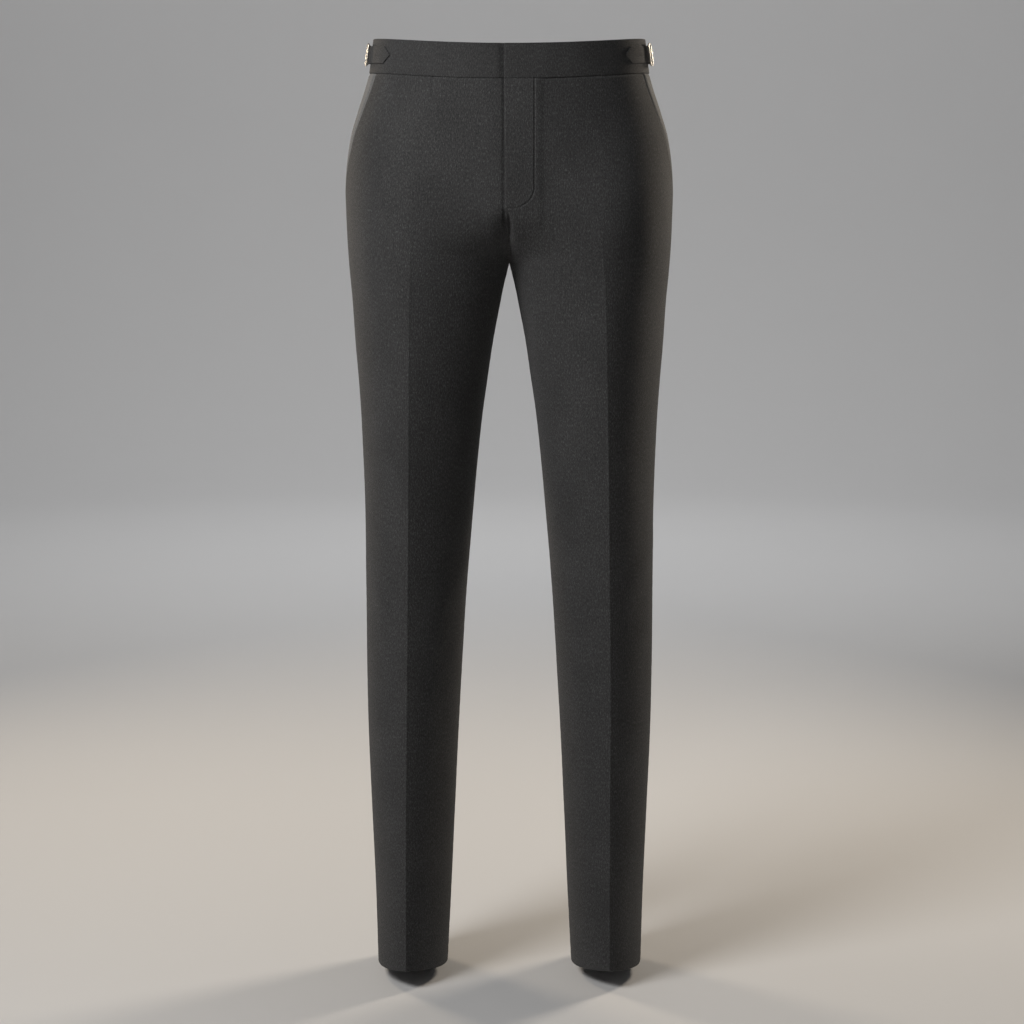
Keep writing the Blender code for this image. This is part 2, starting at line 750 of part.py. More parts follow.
def buckle_outline():
    """The wire's middle line: a rectangle with round corners, as distances along and up."""
    reach_along, reach_up = BUCKLE_WIDTH / 2 - WIRE_RADIUS, BUCKLE_HEIGHT / 2 - WIRE_RADIUS
    corners = ((1, 1, 0), (-1, 1, 90), (-1, -1, 180), (1, -1, 270))
    for right, top, start in corners:
        for step in range(5):
            turn = math.radians(start + 90 * step / 4)
            yield (
                right * (reach_along - BUCKLE_CORNER) + BUCKLE_CORNER * math.cos(turn),
                top * (reach_up - BUCKLE_CORNER) + BUCKLE_CORNER * math.sin(turn),
            )


def wire_ring(side, along, up, along_next, up_next, out, radius, sides=8):
    """Points round the wire, square to its run."""
    run = math.hypot(along_next, up_next)
    across = (up_next / run, -along_next / run)
    ring = []
    for step in range(sides):
        turn = 2 * math.pi * step / sides
        flat, high = radius * math.cos(turn), radius * math.sin(turn)
        ring.append(at_buckle(side, along + across[0] * flat, up + across[1] * flat, out + high))
    return ring


def add_buckle(side_name):
    side = SIDES[side_name]
    outline = list(buckle_outline())
    sections = []
    for index, (along, up) in enumerate(outline):
        before, after = outline[index - 1], outline[(index + 1) % len(outline)]
        sections.append(wire_ring(side, along, up, after[0] - before[0], after[1] - before[1],
                                  FRAME_OUT, WIRE_RADIUS))
    buckle = add_loft(f"adjuster_buckle_{side_name}", sections, NICKEL, closed=True)
    reach = BUCKLE_HEIGHT / 2 - WIRE_RADIUS
    bar_sections = [wire_ring(side, 0, up, 0, 1, BAR_OUT, BAR_RADIUS) for up in (-reach, 0, reach)]
    bar = add_loft(f"middle_bar_{side_name}", bar_sections, NICKEL)
    bar.hide_render = True
    bar.display_type = "WIRE"
    joined = buckle.modifiers.new("Middle bar", "BOOLEAN")
    joined.operation = "UNION"
    joined.solver = "EXACT"
    joined.object = bar
    return buckle


def build():
    for item in list(bpy.data.objects):
        bpy.data.objects.remove(item, do_unlink=True)
    for side_name in SIDES:
        add_panel(side_name, FRONT)
        add_panel(side_name, BACK)
        add_pocket_facing(side_name)
        add_waistband(side_name)
        add_strap(side_name)
        add_keeper(side_name)
        add_buckle(side_name)
    add_fly_facing()
    add_fly_shield()


build()
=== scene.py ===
import math

import bmesh
import bpy
import numpy as np
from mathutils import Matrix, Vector


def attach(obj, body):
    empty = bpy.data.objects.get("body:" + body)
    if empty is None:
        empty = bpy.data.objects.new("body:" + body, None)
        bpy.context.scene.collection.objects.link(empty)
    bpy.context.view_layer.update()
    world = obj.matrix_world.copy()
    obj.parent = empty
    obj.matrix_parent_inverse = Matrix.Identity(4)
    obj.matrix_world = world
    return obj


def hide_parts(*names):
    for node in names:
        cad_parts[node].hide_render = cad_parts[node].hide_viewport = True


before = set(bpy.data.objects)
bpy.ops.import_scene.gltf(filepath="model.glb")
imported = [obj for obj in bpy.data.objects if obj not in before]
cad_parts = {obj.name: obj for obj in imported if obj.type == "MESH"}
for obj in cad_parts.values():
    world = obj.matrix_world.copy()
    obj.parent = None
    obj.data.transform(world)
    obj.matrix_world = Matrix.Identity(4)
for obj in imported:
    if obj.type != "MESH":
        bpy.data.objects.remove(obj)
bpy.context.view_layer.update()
print("frame:", len(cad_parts), "nodes")

mm = 0.001

# the cut of the garment, in millimetres: row 0 waist seam, 1 crotch, 2 hem;
# around 0 side seam, 1 crease, 2 centre seam or inseam

cut = {
    "waistSeamZ": -19.2,
    "crotchSideZ": -220.0,
    "crotchZ": -230.0,
    "crotchY": -15.0,
    "hemZ": -1048.5,
    "turnUp": 38.0,
    "cloth": 1.5,
    "hemCloth": 2.4,
    "legRow": 0.15,   # from here the hips' ellipse turns into the leg's section
    "legRun": 0.65,
}
front = {"name": "front", "toward": -1, "waistLift": -9.6, "forkZ": -165.0, "forkRow": 0.65, "hemLift": 10.5,
         "creaseStart": 0.70, "crease": "frontX", "power": "frontPower", "depth": "frontY"}
back = {"name": "back", "toward": 1, "waistLift": 2.4, "forkZ": -160.0, "forkRow": 0.60, "hemLift": -6.0,
        "creaseStart": 1.05, "crease": "backX", "power": "backPower", "depth": "backY"}
sides = {"Left": 1, "Right": -1}
hipLength = cut["waistSeamZ"] - cut["crotchSideZ"]
legLength = cut["crotchSideZ"] - cut["hemZ"]

outline = {
    "z": (-15, -37, -60, -92, -137, -190, -231, -272, -317, -363, -409, -500, -594, -688, -783, -879, -976,
          -1048),
    "sideX": (155.4, 161.8, 169.6, 178.9, 184.4, 184.0, 182.0, 178.4, 175.4, 171.6, 168.7, 165.6, 165.1,
              165.0, 163.5, 159.8, 156.5, 154.6),
    "frontY": (-107.7, -110.2, -112.8, -116.2, -118.4, -116.8, -114.0, -111.5, -109.0, -106.0, -103.0, -95.5,
               -87.0, -83.0, -80.5, -78.5, -76.5, -75.5),
    "backY": (108.0, 114.5, 121.5, 132.0, 144.0, 146.0, 138.0, 125.5, 114.0, 106.0, 100.5, 92.0, 84.0, 84.5,
              87.0, 87.5, 86.0, 85.0),
    "sideY": (0, 1, 3, 6, 9, 10, 9, 7, 5, 3, 1.5, 0, -1, 0, 2, 3.5, 4, 4),
}
inseam = {
    "z": (-230, -250, -272, -317, -363, -409, -500, -594, -688, -783, -879, -976, -1048),
    "innerX": (0, 5.1, 9.7, 18.2, 25.1, 31.5, 40.5, 48.5, 54.5, 59.7, 64.4, 69.1, 72.6),
    "innerY": (-15, -13, -11, -8, -6, -4, -2, -1, 0, 1.5, 2.5, 3, 3),
}
pressedCrease = {
    "z": (-15, -120, -202, -267, -377, -489, -718, -904, -1048),
    "frontX": (92.0, 101.0, 106.0, 109.0, 110.6, 112.0, 115.6, 118.0, 118.7),
    "backX": (88.0, 92.0, 96.0, 101.0, 105.0, 108.0, 110.5, 111.5, 112.0),
    "inwardLeft": (0.0, 2.0, 5.0, 4.0, 2.5, 1.5, 1.5, 3.5, 3.5),
    "frontPower": (2.0, 2.0, 1.85, 1.5, 1.3, 1.22, 1.18, 1.16, 1.15),
    "backPower": (2.0, 2.0, 2.0, 2.0, 1.6, 1.3, 1.2, 1.16, 1.15),
}
innerTurn = {  # z is minus the row
    "z": (0, -0.66, -0.80, -0.88, -0.94, -1.00, -1.06, -1.20, -1.40, -1.60, -2.00),
    "power": (0.60, 0.65, 0.85, 1.20, 1.80, 2.60, 2.85, 2.55, 2.20, 2.05, 2.00),
}
closing = {"z": (0, -0.33, -0.66, -0.72, -0.80, -2.0), "x": (-5.4, -5.0, -4.7, -4.2, 0, 0)}

# soft folds: side, half, around and z of one end, the same of the other, width, depth (a trough below 0)
folds = (
    (1, front, 0.15, -548, 0.75, -600, 16, 1.8),
    (1, front, 1.90, -585, 1.35, -640, 17, 1.5),
    (-1, front, 0.20, -575, 0.70, -632, 17, 1.3),
    (-1, front, 1.88, -560, 1.40, -622, 16, 1.6),
    (1, back, 0.30, -290, 1.55, -262, 20, -1.8),
    (-1, back, 0.35, -300, 1.60, -268, 20, -1.6),
    (1, back, 1.75, -560, 0.65, -592, 17, -1.8),
    (-1, back, 1.70, -548, 0.70, -585, 18, -1.6),
    (1, front, 1.80, -208, 1.30, -186, 7, -0.5),
    (-1, front, 1.82, -212, 1.25, -196, 8, -0.5),
    (1, front, 1.70, -238, 1.22, -232, 8, 0.4),
    (-1, front, 1.72, -232, 1.28, -222, 7, 0.4),
    (1, front, 0.20, -640, 0.62, -664, 10, 0.6),
    (-1, front, 0.25, -520, 0.60, -548, 10, 0.5),
    (1, front, 1.75, -690, 1.35, -712, 11, 0.5),
    (-1, front, 1.75, -672, 1.42, -700, 10, 0.6),
    (1, back, 0.45, -318, 1.35, -306, 11, 0.9),
    (-1, back, 0.40, -332, 1.45, -312, 12, 0.8),
    (1, back, 1.60, -232, 0.85, -214, 12, -0.8),
    (-1, back, 1.55, -240, 0.95, -220, 11, -0.7),
    (1, back, 1.60, -606, 0.85, -628, 11, 0.9),
    (-1, back, 1.65, -600, 0.80, -640, 12, 0.8),
    (1, back, 1.70, -668, 1.05, -700, 12, -0.6),
    (-1, back, 1.50, -520, 0.90, -530, 11, -0.6),
    (1, back, 0.30, -900, 1.30, -935, 15, 0.7),
    (-1, back, 0.35, -925, 1.40, -950, 14, 0.6),
)


def mix(start, end, share):
    return start + (end - start) * share


def ease(share):
    share = np.clip(share, 0.0, 1.0)
    return share * share * (3 - 2 * share)


def readTable(table, column, z):
    # a smooth curve through the rows of a table, whose z falls from row to row
    heights = -np.array(table["z"], float)
    values = np.array(table[column], float)
    before = np.maximum(np.arange(len(heights)) - 1, 0)
    after = np.minimum(np.arange(len(heights)) + 1, len(heights) - 1)
    slopes = (values[after] - values[before]) / (heights[after] - heights[before])
    wanted = np.clip(-np.asarray(z, float), heights[0], heights[-1])
    low = np.clip(np.searchsorted(heights, wanted), 1, len(heights) - 1)
    high = low - 1
    span = heights[low] - heights[high]
    t = (wanted - heights[high]) / span
    return (values[high] * (1 + 2 * t) * (1 - t) ** 2 + values[low] * t * t * (3 - 2 * t)
            + span * slopes[high] * t * (1 - t) ** 2 + span * slopes[low] * t * t * (t - 1))


def solve(function, target, low, high):
    # bisection for arrays: the function only rises or only falls between low and high
    target = np.asarray(target, float)
    low = np.full(target.shape, float(low))
    high = np.full(target.shape, float(high))
    rising = function(high) > function(low)
    for _ in range(34):
        middle = (low + high) / 2
        below = (function(middle) < target) == rising
        low, high = np.where(below, middle, low), np.where(below, high, middle)
    return (low + high) / 2


# the surface that the panels lie on

def centreLine(half, row):
    straightZ = mix(cut["waistSeamZ"] + half["waistLift"], half["forkZ"], row / half["forkRow"])
    turn = math.pi / 2 * np.clip((row - half["forkRow"]) / (1 - half["forkRow"]), 0, 1)
    forkY = readTable(outline, half["depth"], half["forkZ"])
    straight = row <= half["forkRow"]
    straightY = readTable(outline, half["depth"], straightZ)
    y = np.where(straight, straightY, mix(cut["crotchY"], forkY, np.cos(turn)))
    z = np.where(straight, straightZ, mix(half["forkZ"], cut["crotchZ"], np.sin(turn)))
    return y, z


def hipAngle(half, row, around):
    sideZ = mix(cut["waistSeamZ"], cut["crotchSideZ"], np.minimum(row, 1))
    creaseX = readTable(pressedCrease, half["crease"], sideZ)
    creaseAngle = np.arccos(creaseX / readTable(outline, "sideX", sideZ))
    return np.where(around <= 1, creaseAngle * around, mix(creaseAngle, math.pi / 2, around - 1))


def level(half, row, around):
    hipRow = np.minimum(row, 1)
    sideZ = mix(cut["waistSeamZ"], cut["crotchSideZ"], hipRow)
    centreZ = centreLine(half, hipRow)[1]
    topZ = mix(sideZ, centreZ, np.sin(hipAngle(half, hipRow, around)) ** 2)
    hemZ = cut["hemZ"] + half["hemLift"] * np.sin(math.pi / 2 * around) ** 2
    return mix(topZ, hemZ, np.maximum(row - 1, 0))


def place(side, half, row, around):
    # a point of the surface; beyond the centre line it runs on to the other side
    row, around = np.broadcast_arrays(np.asarray(row, float), np.asarray(around, float))
    side = np.where(around > 2, -side, side)
    around = np.where(around > 2, 4 - around, around)
    z = level(half, row, around)
    sideX, sideY = readTable(outline, "sideX", z), readTable(outline, "sideY", z)

    foldX = readTable(pressedCrease, half["crease"], z)
    if half is front:
        foldX = foldX - np.where(side > 0, readTable(pressedCrease, "inwardLeft", z), 0)
    centreY = centreLine(half, np.minimum(row, 1))[0]
    outer = around <= 1
    endX = np.where(outer, sideX, np.where(row <= 1, 0, readTable(inseam, "innerX", z)))
    endY = np.where(outer, sideY, np.where(row <= 1, centreY, readTable(inseam, "innerY", z)))
    endPower = np.where(outer, 2.0, readTable(innerTurn, "power", -row))
    angle = math.pi / 2 * np.where(outer, around, 2 - around)
    across = np.maximum(np.cos(angle), 0) ** (2 / readTable(pressedCrease, half["power"], z))
    forward = np.maximum(np.sin(angle), 0) ** (2 / endPower)
    legX = mix(foldX, endX, across)
    legY = mix(endY, readTable(outline, half["depth"], z), forward)

    turn = hipAngle(half, row, around)
    hipX, hipY = sideX * np.cos(turn), mix(sideY, centreY, np.sin(turn))
    share = ease((row - cut["legRow"]) / cut["legRun"])
    return np.stack([side * mix(hipX, legX, share), mix(hipY, legY, share), z], -1)


# how far apart points are taken for a normal, and where the normals turn level
lean = {"aroundStep": 0.05, "rowStep": 0.012, "closedRow": 0.81, "seamRun": 0.06, "inseamRow": 0.985,
        "inseamRowRun": 0.03, "inseamAround": 1.9, "inseamRun": 0.1}


def outward(side, half, row, around):
    # unit normals, turned level towards each seam so that both panels' walls agree there
    row, around = np.broadcast_arrays(np.asarray(row, float), np.asarray(around, float))
    openEnd = np.where(row < lean["closedRow"], 4, 2)
    across = (place(side, half, row, np.minimum(around + lean["aroundStep"], openEnd))
              - place(side, half, row, np.maximum(around - lean["aroundStep"], 0)))
    down = (place(side, half, np.minimum(row + lean["rowStep"], 2), around)
            - place(side, half, np.maximum(row - lean["rowStep"], 0), around))
    normal = np.cross(across, down) * side * -half["toward"]
    normal[..., 1] *= ease(around / lean["seamRun"])
    atInseam = ease((row - lean["inseamRow"]) / lean["inseamRowRun"])
    normal[..., 1] *= 1 - atInseam * (1 - ease((2 - around) / lean["seamRun"]))
    leaning = (normal[..., 0] * side > 0) & (around > lean["inseamAround"]) & (around <= 2)
    normal[..., 0] *= np.where(leaning, 1 - ease((around - lean["inseamAround"]) / lean["inseamRun"]), 1)
    return normal / np.linalg.norm(normal, axis=-1, keepdims=True)


def aroundAt(side, half, row, x):
    # from near the side seam to as far past the centre line
    return solve(lambda around: place(side, half, row, around)[..., 0], x, 0.3, 3.7)


def rowAt(side, half, around, z):
    return solve(lambda row: place(side, half, row, around)[..., 2], z, 0, 2)


def fromLine(points, start, end):
    # the share of the way along a straight line and the distance from it
    run = end - start
    along = np.clip(((points - start) @ run) / (run @ run), 0, 1)
    return along, np.linalg.norm(points - start - along[..., None] * run, axis=-1)


foldLines = []
for side, half, around1, z1, around2, z2, width, depth in folds:
    ends = [place(side, half, rowAt(side, half, a, z), a) for a, z in ((around1, z1), (around2, z2))]
    foldLines.append((*ends, width, depth))
foldEndShare = 0.35  # how deep a fold is at its ends


def foldHeight(points):
    height = np.zeros(points.shape[:-1])
    for start, end, width, depth in foldLines:
        along, distance = fromLine(points, start, end)
        swell = mix(foldEndShare, 1, np.sin(math.pi * along))
        height += depth * np.exp(-(distance / width) ** 2) * swell
    return height


# the slight unevenness of hanging cloth: the depth of each wave, and its lengths across and down
waves = {"broad": (0.16, 17, 41), "slanting": (0.10, 8.3, 71), "fine": (0.09, 31, 23),
         "sway": 1.3, "swayLength": 63, "sideShift": 1.7, "backShift": 0.9}


def ripple(side, half, points):
    x, z = points[..., 0], points[..., 2]
    shift = waves["sideShift"] * side + (waves["backShift"] if half is back else 0)
    sway = waves["sway"] * np.sin(z / waves["swayLength"] + shift)
    (broad, broadX, broadZ), (slanting, slantX, slantZ), (fine, fineX, fineZ) = (
        waves[name] for name in ("broad", "slanting", "fine"))
    return (broad * np.sin(x / broadX + sway) * np.sin(z / broadZ + shift)
            + slanting * np.sin(x / slantX - z / slantZ + 2 * shift)
            + fine * np.sin(z / fineZ + x / fineX - shift))


print("surface:", len(folds), "folds")

# details on the panels

fly = {
    "endRow": 0.66,
    "closeRow": 0.70,
    "flatRow": 0.76,
    "evenRow": 0.84,
    "raise": 1.2,
    "sink": 1.3,
    "sinkRun": 3.4,
    "raiseX": 31.0,
    "flatX": 39.0,
    "underlapX": 1.0,
    "underlapFlatX": -9.0,
    "edgeRound": 1.5,
    "stitchX": 27.2,
    "stitchTopZ": -24.0,
    "stitchTurnZ": -146.0,
    "stitchBottomZ": -168.0,
    "stitchInnerX": 2.0,
    "stitchEndX": -2.6,
    "stitchEndRow": 0.9,
    "stitchPower": 1.9,
    "troughDepth": 1.05,
    "troughWidth": 0.85,
    "puff": 0.3,          # how far the cloth stands up beside the stitching
    "puffWidth": 3.2,
}
pocket = {
    "topY": 37.0,
    "endRow": 0.70,
    "curve": 0.7,
    "gape": 0.5,          # how far the front's edge stands off the facing
    "gapePower": 0.6,
    "gapeRun": 0.1,
    "under": 0.22,        # how far the facing runs on under the front
    "depth": 2.9,
    "dive": 0.075,
    "cloth": 1.2,
}
dart = {"x": -83.5, "topZ": -24.0, "endZ": -60.0, "depth": 1.3, "width": 1.2, "fade": 0.6, "puff": 0.25,
        "puffWidth": 9}
hollow = {"start": 0.65, "full": 0.74, "fade": 0.84, "end": 0.96, "depth": 6.0, "run": 21.0, "edge": 2.6}
seam = {
    "halfGap": 0.01,
    "groove": 1.05,       # the dip under the waistband
    "grooveRow": 0.016,
    "ditch": 0.55,        # the dip along a seam
    "ditchWidth": 1.0,
    "pucker": 0.12,
    "puckerReach": 7,
    "puckerRun": 1.9,
    "puckerSway": 17,
    "edgeRound": 1.1,     # how round a folded edge is
    "allowance": 12.0,
    "allowanceRun": 2.5,
    "allowanceCloth": 0.45,
    "pressRidge": 0.38,   # how far a pressed crease stands up
    "pressWidth": 1.5,
    "pressRise": 0.3,
    "hemDip": 0.22,
    "hemDipWidth": 1.4,
    "hemRound": 1.0,
}


def bell(distance, width):
    return np.exp(-(distance / width) ** 2)


def flyShare(row):
    return 1 - ease((row - fly["closeRow"]) / (fly["flatRow"] - fly["closeRow"]))


def closingX(side, row):
    x = readTable(closing, "x", -row)
    return np.where(row > fly["endRow"], x + side * seam["halfGap"], x if side > 0 else fly["underlapX"])


def mouthAround(row):
    # where the slanted pocket mouth cuts a row, or the side seam below the pocket
    share = np.clip(row / pocket["endRow"], 0, 1)
    forward = pocket["topY"] * (1 - share ** 2) ** pocket["curve"]
    z = level(front, row, np.zeros_like(row))
    angle = np.arcsin(forward / (readTable(outline, "sideY", z) - readTable(outline, "frontY", z)))
    return angle / hipAngle(front, row, np.ones_like(row))


def flyStitchPath():
    # x and z down the fly's stitching and round to its edge
    turn = np.linspace(0, math.pi / 2, 15)
    reach, drop = fly["stitchX"] - fly["stitchInnerX"], fly["stitchTurnZ"] - fly["stitchBottomZ"]
    x = fly["stitchInnerX"] + reach * np.cos(turn) ** (2 / fly["stitchPower"])
    z = fly["stitchTurnZ"] - drop * np.sin(turn) ** (2 / fly["stitchPower"])
    x = np.concatenate([[fly["stitchX"]], x, [fly["stitchEndX"]]])
    z = np.concatenate([[fly["stitchTopZ"]], z, [fly["stitchBottomZ"]]])
    return np.stack([x, z], -1)


def distanceToPath(points, path):
    return np.min([fromLine(points, start, end)[1] for start, end in zip(path[:-1], path[1:])], axis=0)


def pocketGape(row):
    return pocket["gape"] * np.sin(math.pi * np.clip(row / pocket["endRow"], 0, 1)) ** pocket["gapePower"]


def facingDepth(row, around, mouth):
    # just clear of the front's edge, which lifts off it, and rising to the surface beyond
    return (pocket["depth"] - pocketGape(row)) * ease((around - mouth + pocket["dive"]) / pocket["dive"])


def seamHollow(side, row, x):
    # below the fly the right front falls away to the centre seam, and the left front has a rounded edge
    down = (ease((row - hollow["start"]) / (hollow["full"] - hollow["start"]))
            * (1 - ease((row - hollow["fade"]) / (hollow["end"] - hollow["fade"]))))
    reach = np.exp(-np.abs(x) / hollow["edge"]) if side > 0 else 1 - ease(np.abs(x) / hollow["run"])
    return -hollow["depth"] * down * reach


def plainHeight(side, half, row, base):
    # folds, unevenness and the dip under the waistband
    groove = -seam["groove"] * (1 - ease(row / seam["grooveRow"])) ** 1.5
    return foldHeight(base) + ripple(side, half, base) + groove


def clothHeight(side, half, row, around, base):
    # how far the cloth's face stands off the plain surface, seams and edges apart
    fromTurnUp = (row - 2) * legLength + cut["turnUp"]
    height = plainHeight(side, half, row, base) - seam["hemDip"] * bell(fromTurnUp, seam["hemDipWidth"])
    if half is back:
        return height
    x, z = base[..., 0], base[..., 2]
    if side > 0:
        rise = fly["raise"] * (1 - ease((x - fly["raiseX"]) / (fly["flatX"] - fly["raiseX"])))
        fromStitches = distanceToPath(base[..., ::2], flyStitchPath())
        trough = fly["troughDepth"] * bell(fromStitches, fly["troughWidth"])
        puff = fly["puff"] * bell(fromStitches, fly["puffWidth"])
        height = height + (puff - trough) * (row < fly["stitchEndRow"]) * (base[..., 1] < 0)
    else:
        rise = -fly["sink"] * ease((x - fly["underlapFlatX"]) / fly["sinkRun"])
        down = np.clip((dart["topZ"] - z) / (dart["topZ"] - dart["endZ"]), 0, 1)
        dip = dart["depth"] * bell(x - dart["x"], dart["width"]) * ease((1 - down) / dart["fade"])
        puff = bell(x - dart["x"], dart["puffWidth"]) * bell(z - dart["endZ"], dart["puffWidth"])
        height = height - dip * (z > dart["endZ"]) + dart["puff"] * puff
    gape = pocketGape(row) * (1 - ease((around - mouthAround(row)) / pocket["gapeRun"]))
    height = height + rise * flyShare(row) + np.where(row < pocket["endRow"], gape, 0)
    return height + np.where(row < 1, seamHollow(side, row, x), 0)


# meshes

pieces = {}


def keep(piece):
    pieces[piece.name] = piece
    print(piece.name, len(piece.data.polygons), "faces")


def addObject(name, data):
    added = bpy.data.objects.new(name, data)
    bpy.context.scene.collection.objects.link(added)
    return added


def spacedSteps(stops, count=None):
    # positions whose spacing follows (position, spacing) stops
    at, gap = np.array(stops, float).T
    fine = np.linspace(at[0], at[-1], 4001)
    middle = (fine[1:] + fine[:-1]) / 2
    steps = np.concatenate([[0], np.cumsum(np.diff(fine) / np.interp(middle, at, gap))])
    count = count or round(steps[-1])
    return np.interp(np.linspace(0, steps[-1], count + 1), steps, fine)


def makeMesh(name, points, faces, uv, sharpAngle=60):
    mesh = bpy.data.meshes.new(name)
    mesh.from_pydata((np.asarray(points) * mm).tolist(), [], faces)
    layer = mesh.uv_layers.new(name="cloth")
    corners = np.empty(len(mesh.loops), int)
    mesh.loops.foreach_get("vertex_index", corners)
    layer.data.foreach_set("uv", (np.asarray(uv)[corners] * mm).ravel())
    mesh.shade_smooth()
    mesh.set_sharp_from_angle(angle=math.radians(sharpAngle))
    return addObject(name, mesh)


def clothWall(name, outer, inner, uv):
    # a sheet with two faces, from two grids of the same size, closed round its rim
    rows, columns = outer.shape[:2]
    number = np.arange(rows * columns).reshape(rows, columns)
    cells = np.stack([number[:-1, :-1], number[:-1, 1:], number[1:, 1:], number[1:, :-1]], -1).reshape(-1, 4)
    rim = np.concatenate([number[0, :], number[1:, -1], number[-1, -2::-1], number[-2:0:-1, 0]])
    after = np.roll(rim, -1)
    inside = rows * columns
    faces = np.concatenate([cells, cells[:, ::-1] + inside,
                            np.stack([after, rim, rim + inside, after + inside], -1)])
    i, j = rows // 2, columns // 2
    facing = np.cross(outer[i, j + 1] - outer[i, j], outer[i + 1, j] - outer[i, j])
    if facing @ (outer[i, j] - inner[i, j]) < 0:
        faces = faces[:, ::-1]
    points = np.concatenate([outer.reshape(-1, 3), inner.reshape(-1, 3)])
    return makeMesh(name, points, faces.tolist(), np.concatenate([uv.reshape(-1, 2)] * 2))


def runAlong(points, axis=0):
    # how far along a line each of its points lies
    steps = np.linalg.norm(np.diff(points, axis=axis), axis=-1)
    return np.insert(np.cumsum(steps, axis), 0, 0, axis)


def gridDistances(grid):
    # how far each point lies from the first and last column and the last row, and how far down it is
    across, down = runAlong(grid, 1), runAlong(grid)
    return across, across[:, -1:] - across, down[-1:] - down, down


def roundEdge(distance, radius):
    near = 1 - np.clip(distance / radius, 0, 1)
    return radius * (1 - np.sqrt(1 - near ** 2))


def clothUv(grid, creaseColumn):
    across, _, _, down = gridDistances(grid)
    u = across - across[:, creaseColumn:creaseColumn + 1]
    v = np.repeat(down[:, creaseColumn:creaseColumn + 1], grid.shape[1], 1)
    return np.stack([u, -v], -1)


# the four leg panels

spacing = {   # stops along a panel and the steps there, both in millimetres
    "frontRows": ((0, 0.5), (4, 1.3), (110, 1.6), (120, 0.65), (152, 0.65), (160, 1.6), (201, 2.8)),
    "backRows": ((0, 0.5), (4, 2.0), (150, 2.8), (201, 3.0)),
    "legRows": ((0, 2.8), (60, 6.2), (776, 6.2), (788, 0.8), (792, 0.8), (801, 3.2), (822, 2.4), (828, 0.35)),
    "sideToCrease": ((0, 0.4), (3, 1.2), (12, 3.6), (80, 3.6), (91, 1.4), (95, 0.5)),
    "creaseToInseam": ((0, 0.5), (4, 1.4), (15, 3.6), (83, 3.6), (92, 1.2), (95, 0.4)),
    "creaseToFly": ((0, 0.5), (4, 1.4), (15, 3.8), (52, 3.4), (66, 1.2), (70, 0.5), (78, 0.5), (84, 0.9),
                    (103, 0.9), (107, 0.4)),
    "creaseToUnderlap": ((0, 0.5), (2, 0.6), (10, 0.6), (20, 3.6), (76, 3.6), (84, 1.4), (97, 0.7),
                         (99, 0.5)),
    "facingRows": ((0, 0.6), (5, 1.8), (151, 1.8)),
    "facingColumns": ((0, 0.4), (3, 1.0), (13, 1.2), (16, 0.4), (20, 0.3)),
    "strapColumns": ((-1, 0.035), (-0.8, 0.12), (0, 0.22), (0.8, 0.12), (1, 0.035)),
}
# each piece lies elsewhere on the cloth, so that no speckle repeats
clothShift = {"panel": (271.0, 97.0), "patch": (640.0, 330.0), "band": 1300}
fork = {"share": 0.5, "rowReach": 14, "seamReach": 7, "passes": 40}


def shares(key, count=None):
    return spacedSteps(spacing[key], count) / spacing[key][-1][0]


def panelColumns(side, half, rows):
    outer = shares("sideToCrease")
    if half is back:
        inner = 1 + shares("creaseToInseam")[1:]
        return np.repeat(np.concatenate([outer, inner])[None, :], len(rows), 0), len(outer) - 1
    share = shares("creaseToFly" if side > 0 else "creaseToUnderlap")[1:]
    even = 1 + shares("creaseToInseam", len(share))[1:]
    inner = np.repeat(even[None, :], len(rows), 0)
    upper = rows <= fly["evenRow"]
    row = rows[upper][:, None]
    creaseX = place(side, half, row, np.ones_like(row))[..., 0]
    wideRow, x = np.broadcast_arrays(row, mix(creaseX, closingX(side, row), share[None, :]))
    byFly = aroundAt(side, half, wideRow, x)
    spread = ease((row - fly["closeRow"]) / (fly["evenRow"] - fly["closeRow"]))
    inner[upper] = mix(byFly, even[None, :], spread)
    inner[upper, -1] = byFly[:, -1]
    return np.concatenate([mix(mouthAround(rows)[:, None], 1, outer[None, :]), inner], 1), len(outer) - 1


def softenFork(points, rows):
    # irons out the ridge where the seat's curve turns into the legs
    fromFork = (rows - 1) * np.where(rows < 1, hipLength, legLength)
    fromSeam = gridDistances(points)[1]
    share = fork["share"] * bell(fromFork[:, None], fork["rowReach"]) * ease(fromSeam / fork["seamReach"])
    gaps = np.linalg.norm(np.diff(points, axis=0), axis=2)
    above, below = gaps[:-1, :, None], gaps[1:, :, None]
    for _ in range(fork["passes"]):
        between = (points[:-2] * below + points[2:] * above) / (above + below)
        points[1:-1] += share[1:-1, :, None] * (between - points[1:-1])
    return points


